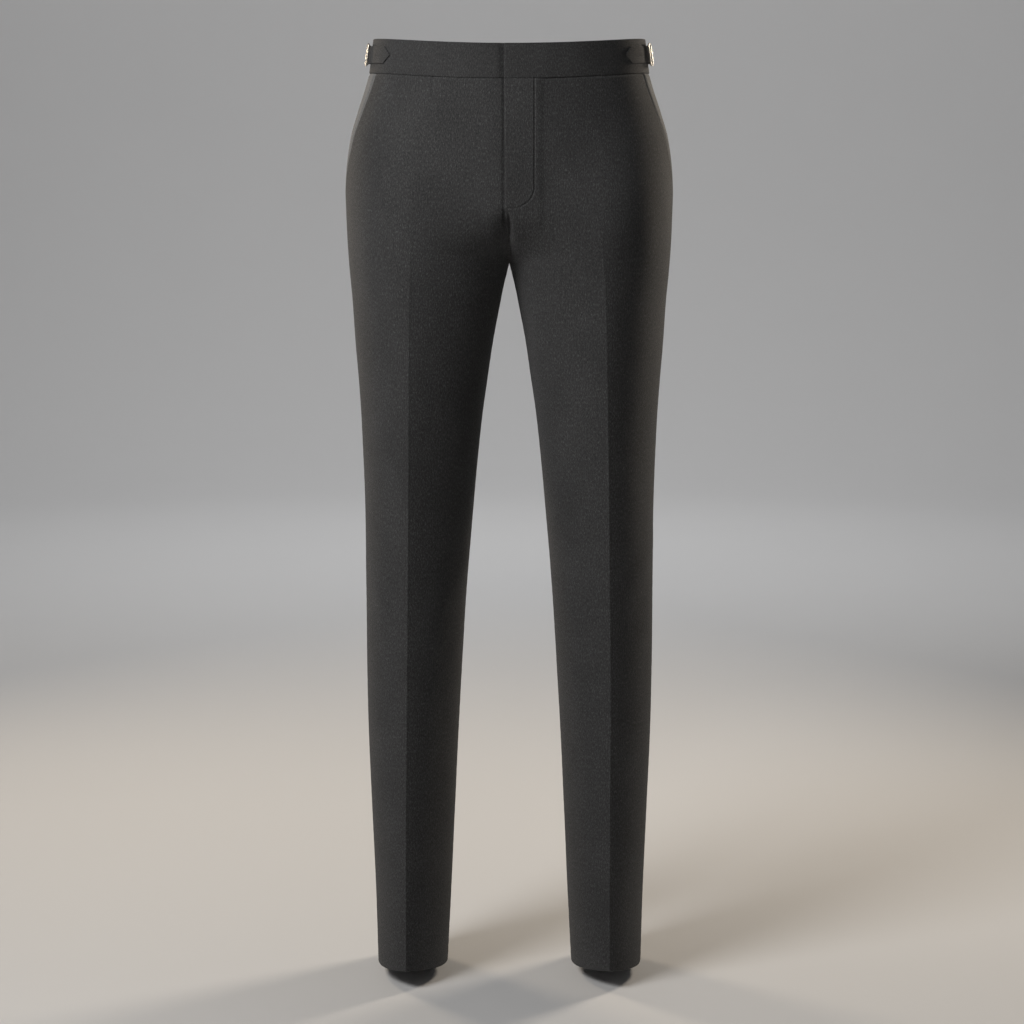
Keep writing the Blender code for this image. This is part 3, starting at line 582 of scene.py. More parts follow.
def legPanel(sideName, half):
    side = sides[sideName]
    rows = np.concatenate([shares(half["name"] + "Rows"), 1 + shares("legRows")[1:]])
    around, creaseColumn = panelColumns(side, half, rows)
    row = np.repeat(rows[:, None], around.shape[1], 1)
    base = softenFork(place(side, half, row, around), rows)
    normal = outward(side, half, row, around)
    fromFirst, fromLast, fromHem, _ = gridDistances(base)
    height = clothHeight(side, half, row, around, base)

    ridge = seam["pressRidge"] * ease((row - half["creaseStart"]) / seam["pressRise"])
    height += ridge * bell(fromFirst - fromFirst[:, creaseColumn:creaseColumn + 1], seam["pressWidth"])

    thickness = np.where(row > 2 - cut["turnUp"] / legLength, cut["hemCloth"], cut["cloth"])
    innerLift = np.zeros_like(height)
    sway = 2 * np.sin(base[..., 2] / seam["puckerSway"])
    gathers = seam["pucker"] * np.sin(base[..., 2] / seam["puckerRun"] + sway)
    flyFade = 1 - flyShare(row) if half is front else 1
    for distance, opening, sewn in ((fromFirst, pocket, 1), (fromLast, fly, flyFade)):
        free = (row < opening["endRow"]) & (half is front)
        ditch = seam["ditch"] * np.exp(-distance / seam["ditchWidth"]) * sewn
        folded = roundEdge(distance, opening.get("edgeRound", seam["edgeRound"]))
        puckers = gathers * np.exp(-distance / seam["puckerReach"])
        height = height - np.where(free, folded, ditch - puckers)
        innerLift += np.where(free, folded, 0)
        layers = ease((seam["allowance"] - distance) / seam["allowanceRun"])
        thickness = thickness + np.where(free, 0, seam["allowanceCloth"] * layers)
    hemRound = roundEdge(fromHem, seam["hemRound"])
    height -= hemRound
    outer = base + normal * height[..., None]
    inner = base + normal * (height - thickness + innerLift + 2 * hemRound)[..., None]
    for face in (outer, inner):
        face[rows <= 1, -1, 0] = base[rows <= 1, -1, 0]
    across, along = clothShift["panel"]
    uv = clothUv(base, creaseColumn) * (side * half["toward"], 1) + (across * side, along * half["toward"])
    return clothWall(half["name"] + sideName, outer, inner, uv)


for sideName in sides:
    for half in (front, back):
        keep(legPanel(sideName, half))

# fly facing, fly shield and pocket facings, under the fronts

layersUnder = {
    "edgeShare": 0.45,    # how round an edge is, as a share of the cloth
    "facingX": 29.0,
    "facingTurnZ": -140.0,
    "facingBottomZ": -170.0,
    "facingEndRow": 0.65,
    "facingDepth": 0.9,
    "facingCloth": 1.1,
    "shieldX": (26.0, -16.0),
    "shieldEndRow": 0.62,
    "shieldCloth": 1.4,
    "clear": (0.3, 0.6),  # beside the underlap, and under it
    "rows": 90,
    "columns": 26,
}


def patch(name, side, row, around, depth, cloth):
    base = place(side, front, row, around)
    normal = outward(side, front, row, around)
    edge = roundEdge(np.min(gridDistances(base)[:3], axis=0), cloth * layersUnder["edgeShare"])
    height = plainHeight(side, front, row, base) - depth
    across, along = clothShift["patch"]
    uv = clothUv(base, base.shape[1] // 2) * (-side, 1) + (across * side, along)
    return clothWall(name, base + normal * (height - edge)[..., None],
                     base + normal * (height - cloth + edge)[..., None], uv)


def flyPatch(name, rows, firstX, lastX, depth, cloth):
    x = mix(firstX, lastX, np.linspace(0, 1, layersUnder["columns"])[None, :])
    row, x = np.broadcast_arrays(rows, x)
    return patch(name, 1, row, aroundAt(1, front, row, x), depth, cloth)


def flyFacing():
    values = layersUnder
    rows = np.linspace(0, values["facingEndRow"], values["rows"])[:, None]
    turnZ, bottomZ = values["facingTurnZ"], values["facingBottomZ"]
    drop = np.clip((turnZ - centreLine(front, rows)[1]) / (turnZ - bottomZ), 0, 1)
    edge = mix(closing["x"][2], values["facingX"], np.sqrt(1 - drop ** 2))
    return flyPatch("flyFacing", rows, edge, fly["underlapX"] + values["clear"][0], values["facingDepth"],
                    values["facingCloth"])


def flyShield():
    values = layersUnder
    rows = np.linspace(0, values["shieldEndRow"], values["rows"])[:, None]
    return flyPatch("flyShield", rows, *values["shieldX"], fly["sink"] + cut["cloth"] + values["clear"][1],
                    values["shieldCloth"])


def pocketFacing(sideName):
    side = sides[sideName]
    rows = spacedSteps(spacing["facingRows"]) / spacing["frontRows"][-1][0]
    mouth = mouthAround(rows)[:, None]
    shown = mouth * shares("facingColumns", 32)[None, :]
    around = np.concatenate([shown, mouth + pocket["under"] * np.linspace(0, 1, 13)[None, 1:]], 1)
    row = np.repeat(rows[:, None], around.shape[1], 1)
    fromSeam = gridDistances(place(side, front, row, around))[0]
    ditch = seam["ditch"] * np.exp(-fromSeam / seam["ditchWidth"])
    return patch("pocketFacing" + sideName, side, row, around, facingDepth(row, around, mouth) + ditch,
                 pocket["cloth"])


keep(flyFacing())
keep(flyShield())
for sideName in sides:
    keep(pocketFacing(sideName))

# waistband

band = {
    "height": 37.6,
    "wall": 2.6,
    "bottom": {"sideX": 157.0, "frontY": -109.2, "backY": 110.2},
    "top": {"sideX": 152.2, "frontY": -107.4, "backY": 106.4},
    "edgeRound": 1.0,
    "endRound": 1.0,
    "overlapRaise": 0.9,
    "underlapSink": 2.3,
    "underlapX": 30.0,
    "flatX": (34.0, 60.0),
    "dipX": (-12.5, -6.0),
    "faceInset": 2.4,
    "insideInsets": (3, 1.0),
    "sections": 210,
    "endSteps": (0, 0.05, 0.15, 0.3, 0.55, 1.0),
    "endStep": 0.0064,
    "seamDip": 0.45,
    "soft": ((0.13, 19), (0.09, 7.3)),   # depth and length of its unevenness
    "curtain": 3.0,      # how far its inner edge runs down behind the seam
}


def bandPlace(side, angle, height, out):
    # angle 0 is the side seam, a quarter turn the centre front, and minus that the centre back
    angle, height, out = np.broadcast_arrays(*(np.asarray(v, float) for v in (angle, height, out)))
    share = height / band["height"]
    ahead = angle > 0
    sideX, frontY, backY = (mix(band["bottom"][key], band["top"][key], share)
                            for key in ("sideX", "frontY", "backY"))
    depth = np.where(ahead, frontY, backY)
    x, y = sideX * np.cos(angle), depth * np.sin(np.abs(angle))
    normal = np.stack([x / sideX ** 2, y / depth ** 2], -1)
    normal /= np.linalg.norm(normal, axis=-1, keepdims=True)
    lift = np.where(ahead, front["waistLift"], back["waistLift"]) * np.sin(angle) ** 2
    return np.stack([side * (x + normal[..., 0] * out), y + normal[..., 1] * out,
                     cut["waistSeamZ"] + lift + height], -1)


def bandAngleAtX(x):
    return math.acos(x / band["bottom"]["sideX"])


def bandSection():
    # height and distance out, round the section from the seam up the face and down inside
    radius, top, inner, curtain = band["edgeRound"], band["height"], -band["wall"], band["curtain"]
    turn = np.linspace(0, math.pi / 2, 5)
    lower = [(radius - radius * math.cos(t), -radius + radius * math.sin(t)) for t in turn]
    face = [(h, 0.0) for h in np.linspace(band["faceInset"], top - band["faceInset"], 12)]
    upper = [(top - radius + radius * math.sin(t), -radius + radius * math.cos(t)) for t in turn]
    insideTop = [(top - radius + radius * math.cos(t), inner + radius - radius * math.sin(t)) for t in turn]
    fromTop, fromSeam = band["insideInsets"]
    inside = [(h, inner) for h in np.linspace(top - fromTop, fromSeam, 9)]
    hem = [(-curtain, inner - 0.1), (-curtain, inner + 0.25), (-0.1, inner + 0.3)]
    return np.array(lower + face + upper + insideTop + inside + hem)


def bandLift(side, angle):
    x = side * band["bottom"]["sideX"] * np.cos(angle)
    low, high = band["flatX"] if side > 0 else band["dipX"]
    share = ease((x - low) / (high - low))
    lift = band["overlapRaise"] * (1 - share) if side > 0 else -band["underlapSink"] * share
    return np.where(angle < 0, 0, lift)


def waistband(sideName):
    side = sides[sideName]
    backEnd = -bandAngleAtX(seam["halfGap"])
    frontEnd = bandAngleAtX(closing["x"][0] if side > 0 else -band["underlapX"])
    ends = band["endStep"] * np.array(band["endSteps"])
    angles = np.linspace(backEnd, frontEnd, band["sections"])[1:-1]
    angles = np.concatenate([backEnd + ends, angles, frontEnd - ends[::-1]])
    runs = runAlong(bandPlace(side, angles, 0, 0))
    section = bandSection()
    perimeter = runAlong(section)
    (broad, broadLength), (fine, fineLength) = band["soft"]
    sections, uv = [], []
    for angle, run in zip(angles, runs):
        toFront, toBack = (turn * band["bottom"]["sideX"] for turn in (frontEnd - angle, angle - backEnd))
        inset = roundEdge(max(toFront, 0.0), band["endRound"])
        dip = band["seamDip"] * math.exp(-toBack)
        shape = section.copy()
        shape[:, 1] = np.clip(shape[:, 1], -band["wall"] - 1 + inset, -inset - dip)
        soft = broad * math.sin(run / broadLength + side) + fine * math.sin(run / fineLength)
        wave = soft * np.sin(math.pi * np.clip(shape[:, 0] / band["height"], 0, 1))
        sections.append(bandPlace(side, angle, shape[:, 0], shape[:, 1] + bandLift(side, angle) + wave))
        uv.append(np.stack([np.full(len(section), -side * (run + clothShift["band"])), perimeter], -1))
    return loftPiece("waistband" + sideName, np.array(sections), np.array(uv))


def loftPiece(name, sections, uv=None, closed=False, sharpAngle=50):
    # a body through sections with the same number of points, capped at its ends or joined to a ring
    count, size = sections.shape[:2]
    number = np.arange(count * size).reshape(count, size)
    if closed:
        number = np.concatenate([number, number[:1]])
    across = np.roll(number, -1, axis=1)
    faces = np.stack([number[:-1], across[:-1], across[1:], number[1:]], -1).reshape(-1, 4).tolist()
    if not closed:
        faces.append(list(range(size))[::-1])
        faces.append([(count - 1) * size + corner for corner in range(size)])
    uv = np.zeros((count, size, 2)) if uv is None else uv
    piece = makeMesh(name, sections.reshape(-1, 3), faces, uv.reshape(-1, 2), sharpAngle)
    shape = bmesh.new()
    shape.from_mesh(piece.data)
    bmesh.ops.recalc_face_normals(shape, faces=shape.faces)
    shape.to_mesh(piece.data)
    shape.free()
    return piece


for sideName in sides:
    keep(waistband(sideName))

# side adjusters

adjuster = {
    "toSideSeam": {1: 16.0, -1: 10.0},   # the wearer's left buckle sits a little further forward
    "height": 20.3,
    "buckleHeight": 25.4,
    "buckleWidth": 15.6,
    "corner": 2.4,
    "wire": 0.9,
    "wireSides": 14,
    "bar": 0.8,
    "barLevels": (0, 0.5, 0.78, 0.87, 0.93, 0.97, 1),
    "frameOut": 5.1,
    "barOut": 2.2,
    "strapWidth": 19.0,
    "strapCloth": 1.2,
    "strapPoint": 11.0,
    "strapOut": 0.95,
    "strapBehind": (-48, -40, -32, -23),
    "strapAhead": (20, 27, 35.5, 44, 49.5, 55),
    "keeperWidth": 12.0,
    "keeperCloth": 0.8,
    "gap": 0.3,
    "clearUnder": 0.15,
    "clearOver": 0.1,
    "barCurl": 10,
    "pathStep": 0.9,
    "edgeShare": 0.42,
}

# how far round the band each angle lies, ahead of the side seam and behind it
bandWalk = {}
for ahead in (True, False):
    depth = band["bottom"]["frontY" if ahead else "backY"]
    turn = np.linspace(0, 1.4, 2800)
    speed = np.hypot(band["bottom"]["sideX"] * np.sin(turn), depth * np.cos(turn))
    gone = np.concatenate([[0], np.cumsum((speed[1:] + speed[:-1]) / 2 * np.diff(turn))])
    bandWalk[ahead] = (gone, turn if ahead else -turn)


def atBuckle(side, along, up, out):
    # a point beside the buckle: along the band to the front, up the band, and out from its face
    distance = along + adjuster["toSideSeam"][side]
    gone, turn = bandWalk[distance > 0]
    angle = float(np.interp(abs(distance), gone, turn))
    return bandPlace(side, angle, adjuster["height"] + up, out)


def smoothPath(points, step):
    # closer points on a Catmull-Rom curve through these
    points = np.array(points, float)
    padded = np.concatenate([[2 * points[0] - points[1]], points, [2 * points[-1] - points[-2]]])
    line = []
    for a, b, c, d in zip(padded[:-3], padded[1:-2], padded[2:-1], padded[3:]):
        count = max(1, round(float(np.linalg.norm(c - b)) / step))
        for t in np.arange(count) / count:
            line.append(0.5 * (2 * b + (c - a) * t + (2 * a - 5 * b + 4 * c - d) * t * t
                               + (3 * b - a - 3 * c + d) * t ** 3))
    return np.array(line + [points[-1]])


def strapPath():
    # along and out: over the middle bar and under both long bars
    values = adjuster
    bar = values["buckleWidth"] / 2 - values["wire"]
    half = values["strapCloth"] / 2
    under = values["frameOut"] - values["wire"] - values["gap"] - half - values["clearUnder"]
    over = (values["barOut"] + values["bar"] + 2 * values["gap"] + values["keeperCloth"] + half
            + values["clearOver"])
    out = values["strapOut"]
    rise = [(0, over), (1.6, over - 0.3), (bar / 2, mix(over, under, 0.42)), (bar, under),
            (bar + 3, mix(under, out, 0.55)), (bar + 7, out)]
    fall = [(-along, o) for along, o in reversed(rise)]
    ends = [[(along, out) for along in values[key]] for key in ("strapBehind", "strapAhead")]
    return ends[0] + fall + rise[1:] + ends[1]


def strip(name, side, path, widthAt, cloth, columns=15, endRound=True):
    # a flat strip along a path of distances along and out, with its width up the band
    run = runAlong(path)
    tangent = np.gradient(path, axis=0)
    tangent /= np.linalg.norm(tangent, axis=1, keepdims=True)
    across = spacedSteps(spacing["strapColumns"], columns)
    outer = np.zeros((len(path), len(across), 3))
    inner, uv = outer.copy(), np.zeros((len(path), len(across), 2))
    for i, (along, out) in enumerate(path):
        halfWidth = widthAt(along) / 2
        fromEnd = min(run[i], run[-1] - run[i]) if endRound else 9
        for j, s in enumerate(across):
            edge = roundEdge(min((1 - abs(s)) * halfWidth, fromEnd), cloth * adjuster["edgeShare"])
            for grid, face in ((outer, cloth / 2 - edge), (inner, edge - cloth / 2)):
                grid[i, j] = atBuckle(side, along - tangent[i, 1] * face, s * halfWidth,
                                      out + tangent[i, 0] * face)
            uv[i, j] = (s * halfWidth, run[i])
    return clothWall(name, outer, inner, uv)


def adjusterStrap(sideName):
    path = smoothPath(strapPath(), adjuster["pathStep"])
    tip = path[-1][0]

    def widthAt(along):
        return adjuster["strapWidth"] * min(1, max((tip - along) / adjuster["strapPoint"], 0.03))

    return strip("adjusterStrap" + sideName, sides[sideName], path, widthAt, adjuster["strapCloth"])


def adjusterKeeper(sideName):
    gap, barOut = adjuster["gap"], adjuster["barOut"]
    radius = adjuster["bar"] + gap + adjuster["keeperCloth"] / 2
    arch = [(-radius * math.cos(t), barOut + radius * math.sin(t)) for t in np.linspace(0, math.pi, 17)]
    path = [(-radius, gap), (-radius, barOut / 2), *arch, (radius, barOut / 2), (radius, gap)]
    return strip("adjusterKeeper" + sideName, sides[sideName], np.array(path),
                 lambda along: adjuster["keeperWidth"], adjuster["keeperCloth"], columns=11, endRound=False)


def wireRing(side, along, up, tangent, out, radius):
    across = (tangent[1], -tangent[0])
    turn = 2 * math.pi * np.arange(adjuster["wireSides"]) / adjuster["wireSides"]
    return [atBuckle(side, along + across[0] * radius * math.cos(t), up + across[1] * radius * math.cos(t),
                     out + radius * math.sin(t)) for t in turn]


def buckle(sideName):
    side, wire, corner = sides[sideName], adjuster["wire"], adjuster["corner"]
    reachAlong, reachUp = adjuster["buckleWidth"] / 2 - wire, adjuster["buckleHeight"] / 2 - wire
    line = []
    for right, top, start in ((1, 1, 0), (-1, 1, 90), (-1, -1, 180), (1, -1, 270)):
        for t in np.radians(start + np.linspace(0, 90, 9)):
            line.append((right * (reachAlong - corner) + corner * math.cos(t),
                         top * (reachUp - corner) + corner * math.sin(t)))
        if start % 180 == 0:   # the short bars, top and bottom
            line += [(right * (reachAlong - corner) * s, top * reachUp) for s in (0.5, 0, -0.5)]
        else:                  # the long bars
            line += [(right * reachAlong, top * (reachUp - corner) * s) for s in (0.6, 0.2, -0.2, -0.6)]
    line = np.array(line)
    tangent = np.roll(line, -1, 0) - np.roll(line, 1, 0)
    tangent /= np.linalg.norm(tangent, axis=1, keepdims=True)
    ring = [wireRing(side, a, u, t, adjuster["frameOut"], wire) for (a, u), t in zip(line, tangent)]
    frameWire = loftPiece("buckle" + sideName, np.array(ring), closed=True, sharpAngle=80)
    toFrame = adjuster["frameOut"] - adjuster["barOut"] - adjuster["clearOver"]
    levels = adjuster["barLevels"]
    bar = []
    for share in [-s for s in levels[:0:-1]] + list(levels):
        out = adjuster["barOut"] + toFrame * abs(share) ** adjuster["barCurl"]
        bar.append(wireRing(side, 0, share * reachUp, (0, 1), out, adjuster["bar"]))
    middleBar = loftPiece("middleBar" + sideName, np.array(bar), sharpAngle=80)
    join = frameWire.modifiers.new("join", "BOOLEAN")
    join.operation, join.solver, join.object = "UNION", "EXACT", middleBar
    evaluated = frameWire.evaluated_get(bpy.context.evaluated_depsgraph_get())
    frameWire.data = bpy.data.meshes.new_from_object(evaluated)
    frameWire.modifiers.clear()
    frameWire.data.shade_smooth()
    frameWire.data.set_sharp_from_angle(angle=math.radians(70))
    bpy.data.objects.remove(middleBar, do_unlink=True)
    return frameWire


for sideName in sides:
    keep(adjusterStrap(sideName))
    keep(adjusterKeeper(sideName))
    keep(buckle(sideName))

# nodes and finishes

woolFinish = {
    "Base": (0.0285, 0.0287, 0.0294, 1),
    "Light Fibre": (0.125, 0.126, 0.129, 1),
    "Dark Fibre": (0.0070, 0.0071, 0.0074, 1),
    "Heather": 0.72,
    "Fleck": 0.50,
    "Streak": 0.42,
    "Thread": 0.42,      # in millimetres
    "Weave Depth": 0.35,
    "Nap Depth": 0.45,
}
woolShader = {"Specular IOR Level": 0.22, "Sheen Weight": 0.08, "Sheen Roughness": 0.45,
              "Sheen Tint": (0.82, 0.82, 0.84, 1)}
woolBump = {"Strength": 0.5, "Distance": 0.00022}
clothMix = {"cloud": 0.22, "threads": 0.6, "nap": 3.0, "rough": 0.86, "roughLight": 0.1}
threadFinish = {"dark": (0.008, 0.008, 0.009, 1), "light": (0.030, 0.030, 0.032, 1), "twist": 2200.0,
                "shader": {"Roughness": 0.62, "Sheen Weight": 0.15}}
nickelFinish = {"bright": (0.66, 0.62, 0.55, 1), "dull": (0.34, 0.31, 0.27, 1), "patina": 260.0,
                "scratch": (1400.0, 1400.0, 180.0), "bump": {"Strength": 0.25, "Distance": 0.00008},
                "rough": 0.16, "roughDull": 0.20, "roughScratch": 0.14}
speckles = {  # how its noise is stretched across and down the cloth, its detail, roughness, place and window
    "light": ((1.30, 0.36), 3.0, 0.68, 0.0, (0.46, 0.82)),
    "dark": ((1.35, 0.42), 3.0, 0.68, 41.0, (0.47, 0.82)),
    "fibre": ((3.4, 0.50), 2.0, 0.65, 17.0, (0.50, 0.80)),
    "lightFleck": ((0.78, 0.27), 4.0, 0.75, 61.0, (0.47, 0.78)),
    "darkFleck": ((0.74, 0.20), 4.0, 0.75, 83.0, (0.47, 0.78)),
    "streak": ((0.95, 0.040), 4.0, 0.7, 7.0, None),
    "cloud": ((0.016, 0.012), 2.0, 0.5, 3.0, None),
    "nap": ((1.3, 0.7), 4.0, 0.7, 23.0, None),
}


class Nodes:
    # short words for adding and linking nodes
    def __init__(self, tree):
        self.tree = tree

    def add(self, kind, inputs=None, **settings):
        node = self.tree.nodes.new(kind)
        for key, value in settings.items():
            setattr(node, key, value)
        self.fill(node, inputs or {})
        return node

    def fill(self, node, inputs):
        for key, value in inputs.items():
            if isinstance(value, bpy.types.NodeSocket):
                self.tree.links.new(value, node.inputs[key])
            else:
                node.inputs[key].default_value = value

    def math(self, operation, first, second=0.0, clamp=False):
        node = self.add("ShaderNodeMath", {0: first, 1: second}, operation=operation, use_clamp=clamp)
        return node.outputs[0]

    def plus(self, first, second, clamp=False):
        return self.math("ADD", first, second, clamp)

    def minus(self, first, second):
        return self.math("SUBTRACT", first, second)

    def times(self, first, second):
        return self.math("MULTIPLY", first, second)

    def scale(self, vector, share):
        return self.add("ShaderNodeVectorMath", {0: vector, "Scale": share}, operation="SCALE").outputs[0]

    def speckle(self, vector, name):
        (across, down), detail, roughness, shift, window = speckles[name]
        placed = self.add("ShaderNodeMapping", {"Vector": vector, "Location": (shift, shift, 0),
                                                "Scale": (across, down, 1)})
        made = self.add("ShaderNodeTexNoise", {"Vector": placed.outputs[0], "Scale": 1.0, "Detail": detail,
                                               "Roughness": roughness}, noise_dimensions="2D").outputs["Fac"]
        return self.window(made, *window) if window else made

    def window(self, value, low, high):
        return self.add("ShaderNodeMapRange", {"Value": value, "From Min": low, "From Max": high},
                        interpolation_type="SMOOTHSTEP").outputs[0]

    def mixColour(self, share, first, second):
        return self.add("ShaderNodeMix", {"Factor": share, 6: first, 7: second}, data_type="RGBA").outputs[2]


def nodeGroup(name, kind, inputs, outputs):
    tree = bpy.data.node_groups.new(name, kind)
    for socketName, socketKind, value in inputs:
        item = tree.interface.new_socket(name=socketName, in_out="INPUT", socket_type=socketKind)
        if value is not None:
            item.default_value = value
    for socketName, socketKind in outputs:
        tree.interface.new_socket(name=socketName, in_out="OUTPUT", socket_type=socketKind)
    return Nodes(tree), tree.nodes.new("NodeGroupInput").outputs, tree.nodes.new("NodeGroupOutput")


def heatherGroup():
    # melange cloth read in millimetres along and across its threads
    kinds = {tuple: "NodeSocketColor", float: "NodeSocketFloat"}
    inputs = [("Coordinate", "NodeSocketVector", None)]
    inputs += [(key, kinds[type(value)], value) for key, value in woolFinish.items()]
    n, given, made = nodeGroup("heatherCloth", "ShaderNodeTree", inputs, (
        ("Color", "NodeSocketColor"), ("Height", "NodeSocketFloat"), ("Roughness", "NodeSocketFloat")))
    where = n.scale(given["Coordinate"], 1000.0)
    light, dark, fibre, lightFleck, darkFleck, streak, cloud, napNoise = (
        n.speckle(where, name) for name in speckles)
    lightShare = n.times(n.times(n.plus(light, fibre), 0.5), given["Heather"])
    lightShare = n.plus(lightShare, n.times(lightFleck, given["Fleck"]), clamp=True)
    darkShare = n.plus(n.times(dark, given["Heather"]), n.times(darkFleck, given["Fleck"]), clamp=True)
    colour = n.mixColour(darkShare, given["Base"], given["Dark Fibre"])
    colour = n.mixColour(lightShare, colour, given["Light Fibre"])
    streaks = n.times(n.minus(streak, 0.5), given["Streak"])
    tone = n.plus(streaks, n.times(n.minus(cloud, 0.5), clothMix["cloud"]))
    colour = n.scale(colour, n.plus(n.times(tone, 2.0), 1.0))

    split = n.add("ShaderNodeSeparateXYZ", {0: where})
    turn = n.math("DIVIDE", 2 * math.pi, given["Thread"])
    u, v = n.times(split.outputs["X"], turn), n.times(split.outputs["Y"], turn)
    twill = n.math("SINE", n.times(n.plus(u, v), 0.5))
    threads = n.times(n.math("SINE", u), n.math("SINE", v))
    weave = n.times(n.plus(twill, n.times(threads, clothMix["threads"])), given["Weave Depth"])
    nap = n.times(n.minus(napNoise, 0.5), n.times(given["Nap Depth"], clothMix["nap"]))
    rough = n.plus(clothMix["rough"], n.times(light, clothMix["roughLight"]), clamp=True)
    n.fill(made, {"Color": colour, "Height": n.plus(weave, nap), "Roughness": rough})
    return n.tree


def newMaterial(name):
    material = bpy.data.materials.new(name)
    material.use_nodes = True
    return material, Nodes(material.node_tree), material.node_tree.nodes["Principled BSDF"]


def clothMaterial(name, **changes):
    material, n, shader = newMaterial(name)
    where = n.add("ShaderNodeUVMap", uv_map="cloth").outputs[0]
    cloth = n.add("ShaderNodeGroup", node_tree=heather)
    n.fill(cloth, {"Coordinate": where, **woolFinish, **changes})
    bump = n.add("ShaderNodeBump", {"Height": cloth.outputs["Height"], **woolBump})
    n.fill(shader, {"Base Color": cloth.outputs["Color"], "Roughness": cloth.outputs["Roughness"],
                    "Normal": bump.outputs[0], **woolShader})
    return material


def threadMaterial():
    material, n, shader = newMaterial("charcoalThread")
    where = n.add("ShaderNodeTexCoord").outputs["Object"]
    twist = n.add("ShaderNodeTexNoise", {"Vector": where, "Scale": threadFinish["twist"], "Detail": 2.0})
    colour = n.mixColour(twist.outputs["Fac"], threadFinish["dark"], threadFinish["light"])
    n.fill(shader, {"Base Color": colour, **threadFinish["shader"]})
    return material


def nickelMaterial():
    values = nickelFinish
    material, n, shader = newMaterial("antiqueNickel")
    where = n.add("ShaderNodeTexCoord").outputs["Object"]
    patina = n.add("ShaderNodeTexNoise", {"Vector": where, "Scale": values["patina"], "Detail": 4.0,
                                          "Roughness": 0.6})
    dull = n.window(patina.outputs["Fac"], 0.46, 0.68)
    scratch = n.add("ShaderNodeMapping", {"Vector": where, "Scale": values["scratch"]})
    lines = n.add("ShaderNodeTexNoise", {"Vector": scratch.outputs[0], "Scale": 1.0, "Detail": 3.0})
    lines = lines.outputs["Fac"]
    bump = n.add("ShaderNodeBump", {"Height": lines, **values["bump"]})
    scratched = n.plus(values["rough"], n.times(lines, values["roughScratch"]))
    rough = n.plus(n.times(dull, values["roughDull"]), scratched)
    n.fill(shader, {"Base Color": n.mixColour(dull, values["bright"], values["dull"]), "Metallic": 1.0,
                    "Roughness": rough, "Normal": bump.outputs[0]})
    return material


def grey(tone, blue=None):
    return (tone, tone, tone if blue is None else blue, 1)


heather = heatherGroup()
wool = clothMaterial("charcoalWool")
bandWool = clothMaterial("bandWool", Streak=0.12, Fleck=0.36)
trimWool = clothMaterial("trimWool", **{"Streak": 0.12, "Fleck": 0.30, "Nap Depth": 0.4})
# the pocket facing's wool is painted about four times lighter than the other cloth: a painted highlight
# standing in for the rim light on the facing
pocketWoolPaintedRimLight = clothMaterial("pocketWoolPaintedRimLight", **{"Base": grey(0.125, 0.126), "Light Fibre": grey(0.30),
                                            "Dark Fibre": grey(0.055), "Streak": 0.12, "Fleck": 0.30})
thread = threadMaterial()
nickel = nickelMaterial()
print("finishes made")

# stitches, made by Geometry Nodes along lines on the cloth

stitches = {  # all in millimetres, and the seed of their unevenness
    "fly": {"Pitch": 2.3, "Stitch Length": 1.5, "Thread Radius": 0.17, "Seed": 3},
    "pocket": {"Pitch": 2.4, "Stitch Length": 1.6, "Thread Radius": 0.12, "Seed": 7},
    "hem": {"Pitch": 7.0, "Stitch Length": 0.9, "Thread Radius": 0.14, "Seed": 5},
    "strap": {"Pitch": 2.0, "Stitch Length": 1.7, "Thread Radius": 0.24, "Seed": 11},
}
stitchLines = {  # where the rows run, and how far they stand off the cloth
    "fly": {"step": 1.5, "skip": 3, "rows": (0.02, 0.7), "out": 0.02},
    "hem": {"around": (0.06, 1.94), "points": 120, "belowTurnUp": 0.5, "out": 0.02},
    "pocket": {"rows": (0.02, 0.66), "points": 100, "fromSeam": 2.2, "most": 0.4, "out": 0.03},
    "strap": {"along": (24.5, 28.0), "reach": 0.9, "out": 0.02},
}


def stitchTree():
    n, given, made = nodeGroup("stitchRow", "GeometryNodeTree", (
        ("Line", "NodeSocketGeometry", None), ("Pitch", "NodeSocketFloat", 0.002),
        ("Stitch Length", "NodeSocketFloat", 0.0015), ("Thread Radius", "NodeSocketFloat", 0.00016),
        ("Unevenness", "NodeSocketFloat", 0.12), ("Seed", "NodeSocketInt", 4),
        ("Thread", "NodeSocketMaterial", None)), (("Stitches", "NodeSocketGeometry"),))
    curve = n.add("GeometryNodeMeshToCurve", {"Mesh": given["Line"]}).outputs[0]
    even = n.add("GeometryNodeResampleCurve", {"Curve": curve, "Length": given["Pitch"]}, mode="LENGTH")
    points = n.add("GeometryNodeCurveToPoints", {"Curve": even.outputs[0]}, mode="EVALUATED").outputs
    turned = n.add("FunctionNodeAlignRotationToVector", {"Vector": points["Tangent"]}, axis="X").outputs[0]
    ball = n.add("GeometryNodeMeshUVSphere", {"Segments": 6, "Rings": 4, "Radius": 1.0}).outputs[0]
    radius, half = given["Thread Radius"], n.times(given["Stitch Length"], 0.5)
    shape = n.add("ShaderNodeCombineXYZ", {"X": half, "Y": radius, "Z": radius}).outputs[0]
    least = n.minus(1.0, given["Unevenness"])
    size = n.add("FunctionNodeRandomValue", {2: least, 3: 1.0, "Seed": given["Seed"]}, data_type="FLOAT")
    scaled = n.scale(shape, size.outputs[1])
    balls = n.add("GeometryNodeInstanceOnPoints", {"Points": points["Points"], "Instance": ball,
                                                   "Rotation": turned, "Scale": scaled})
    whole = n.add("GeometryNodeRealizeInstances", {"Geometry": balls.outputs[0]})
    smooth = n.add("GeometryNodeSetShadeSmooth", {"Geometry": whole.outputs[0]})
    finish = n.add("GeometryNodeSetMaterial", {"Geometry": smooth.outputs[0], "Material": given["Thread"]})
    n.fill(made, {"Stitches": finish.outputs[0]})
    return n.tree


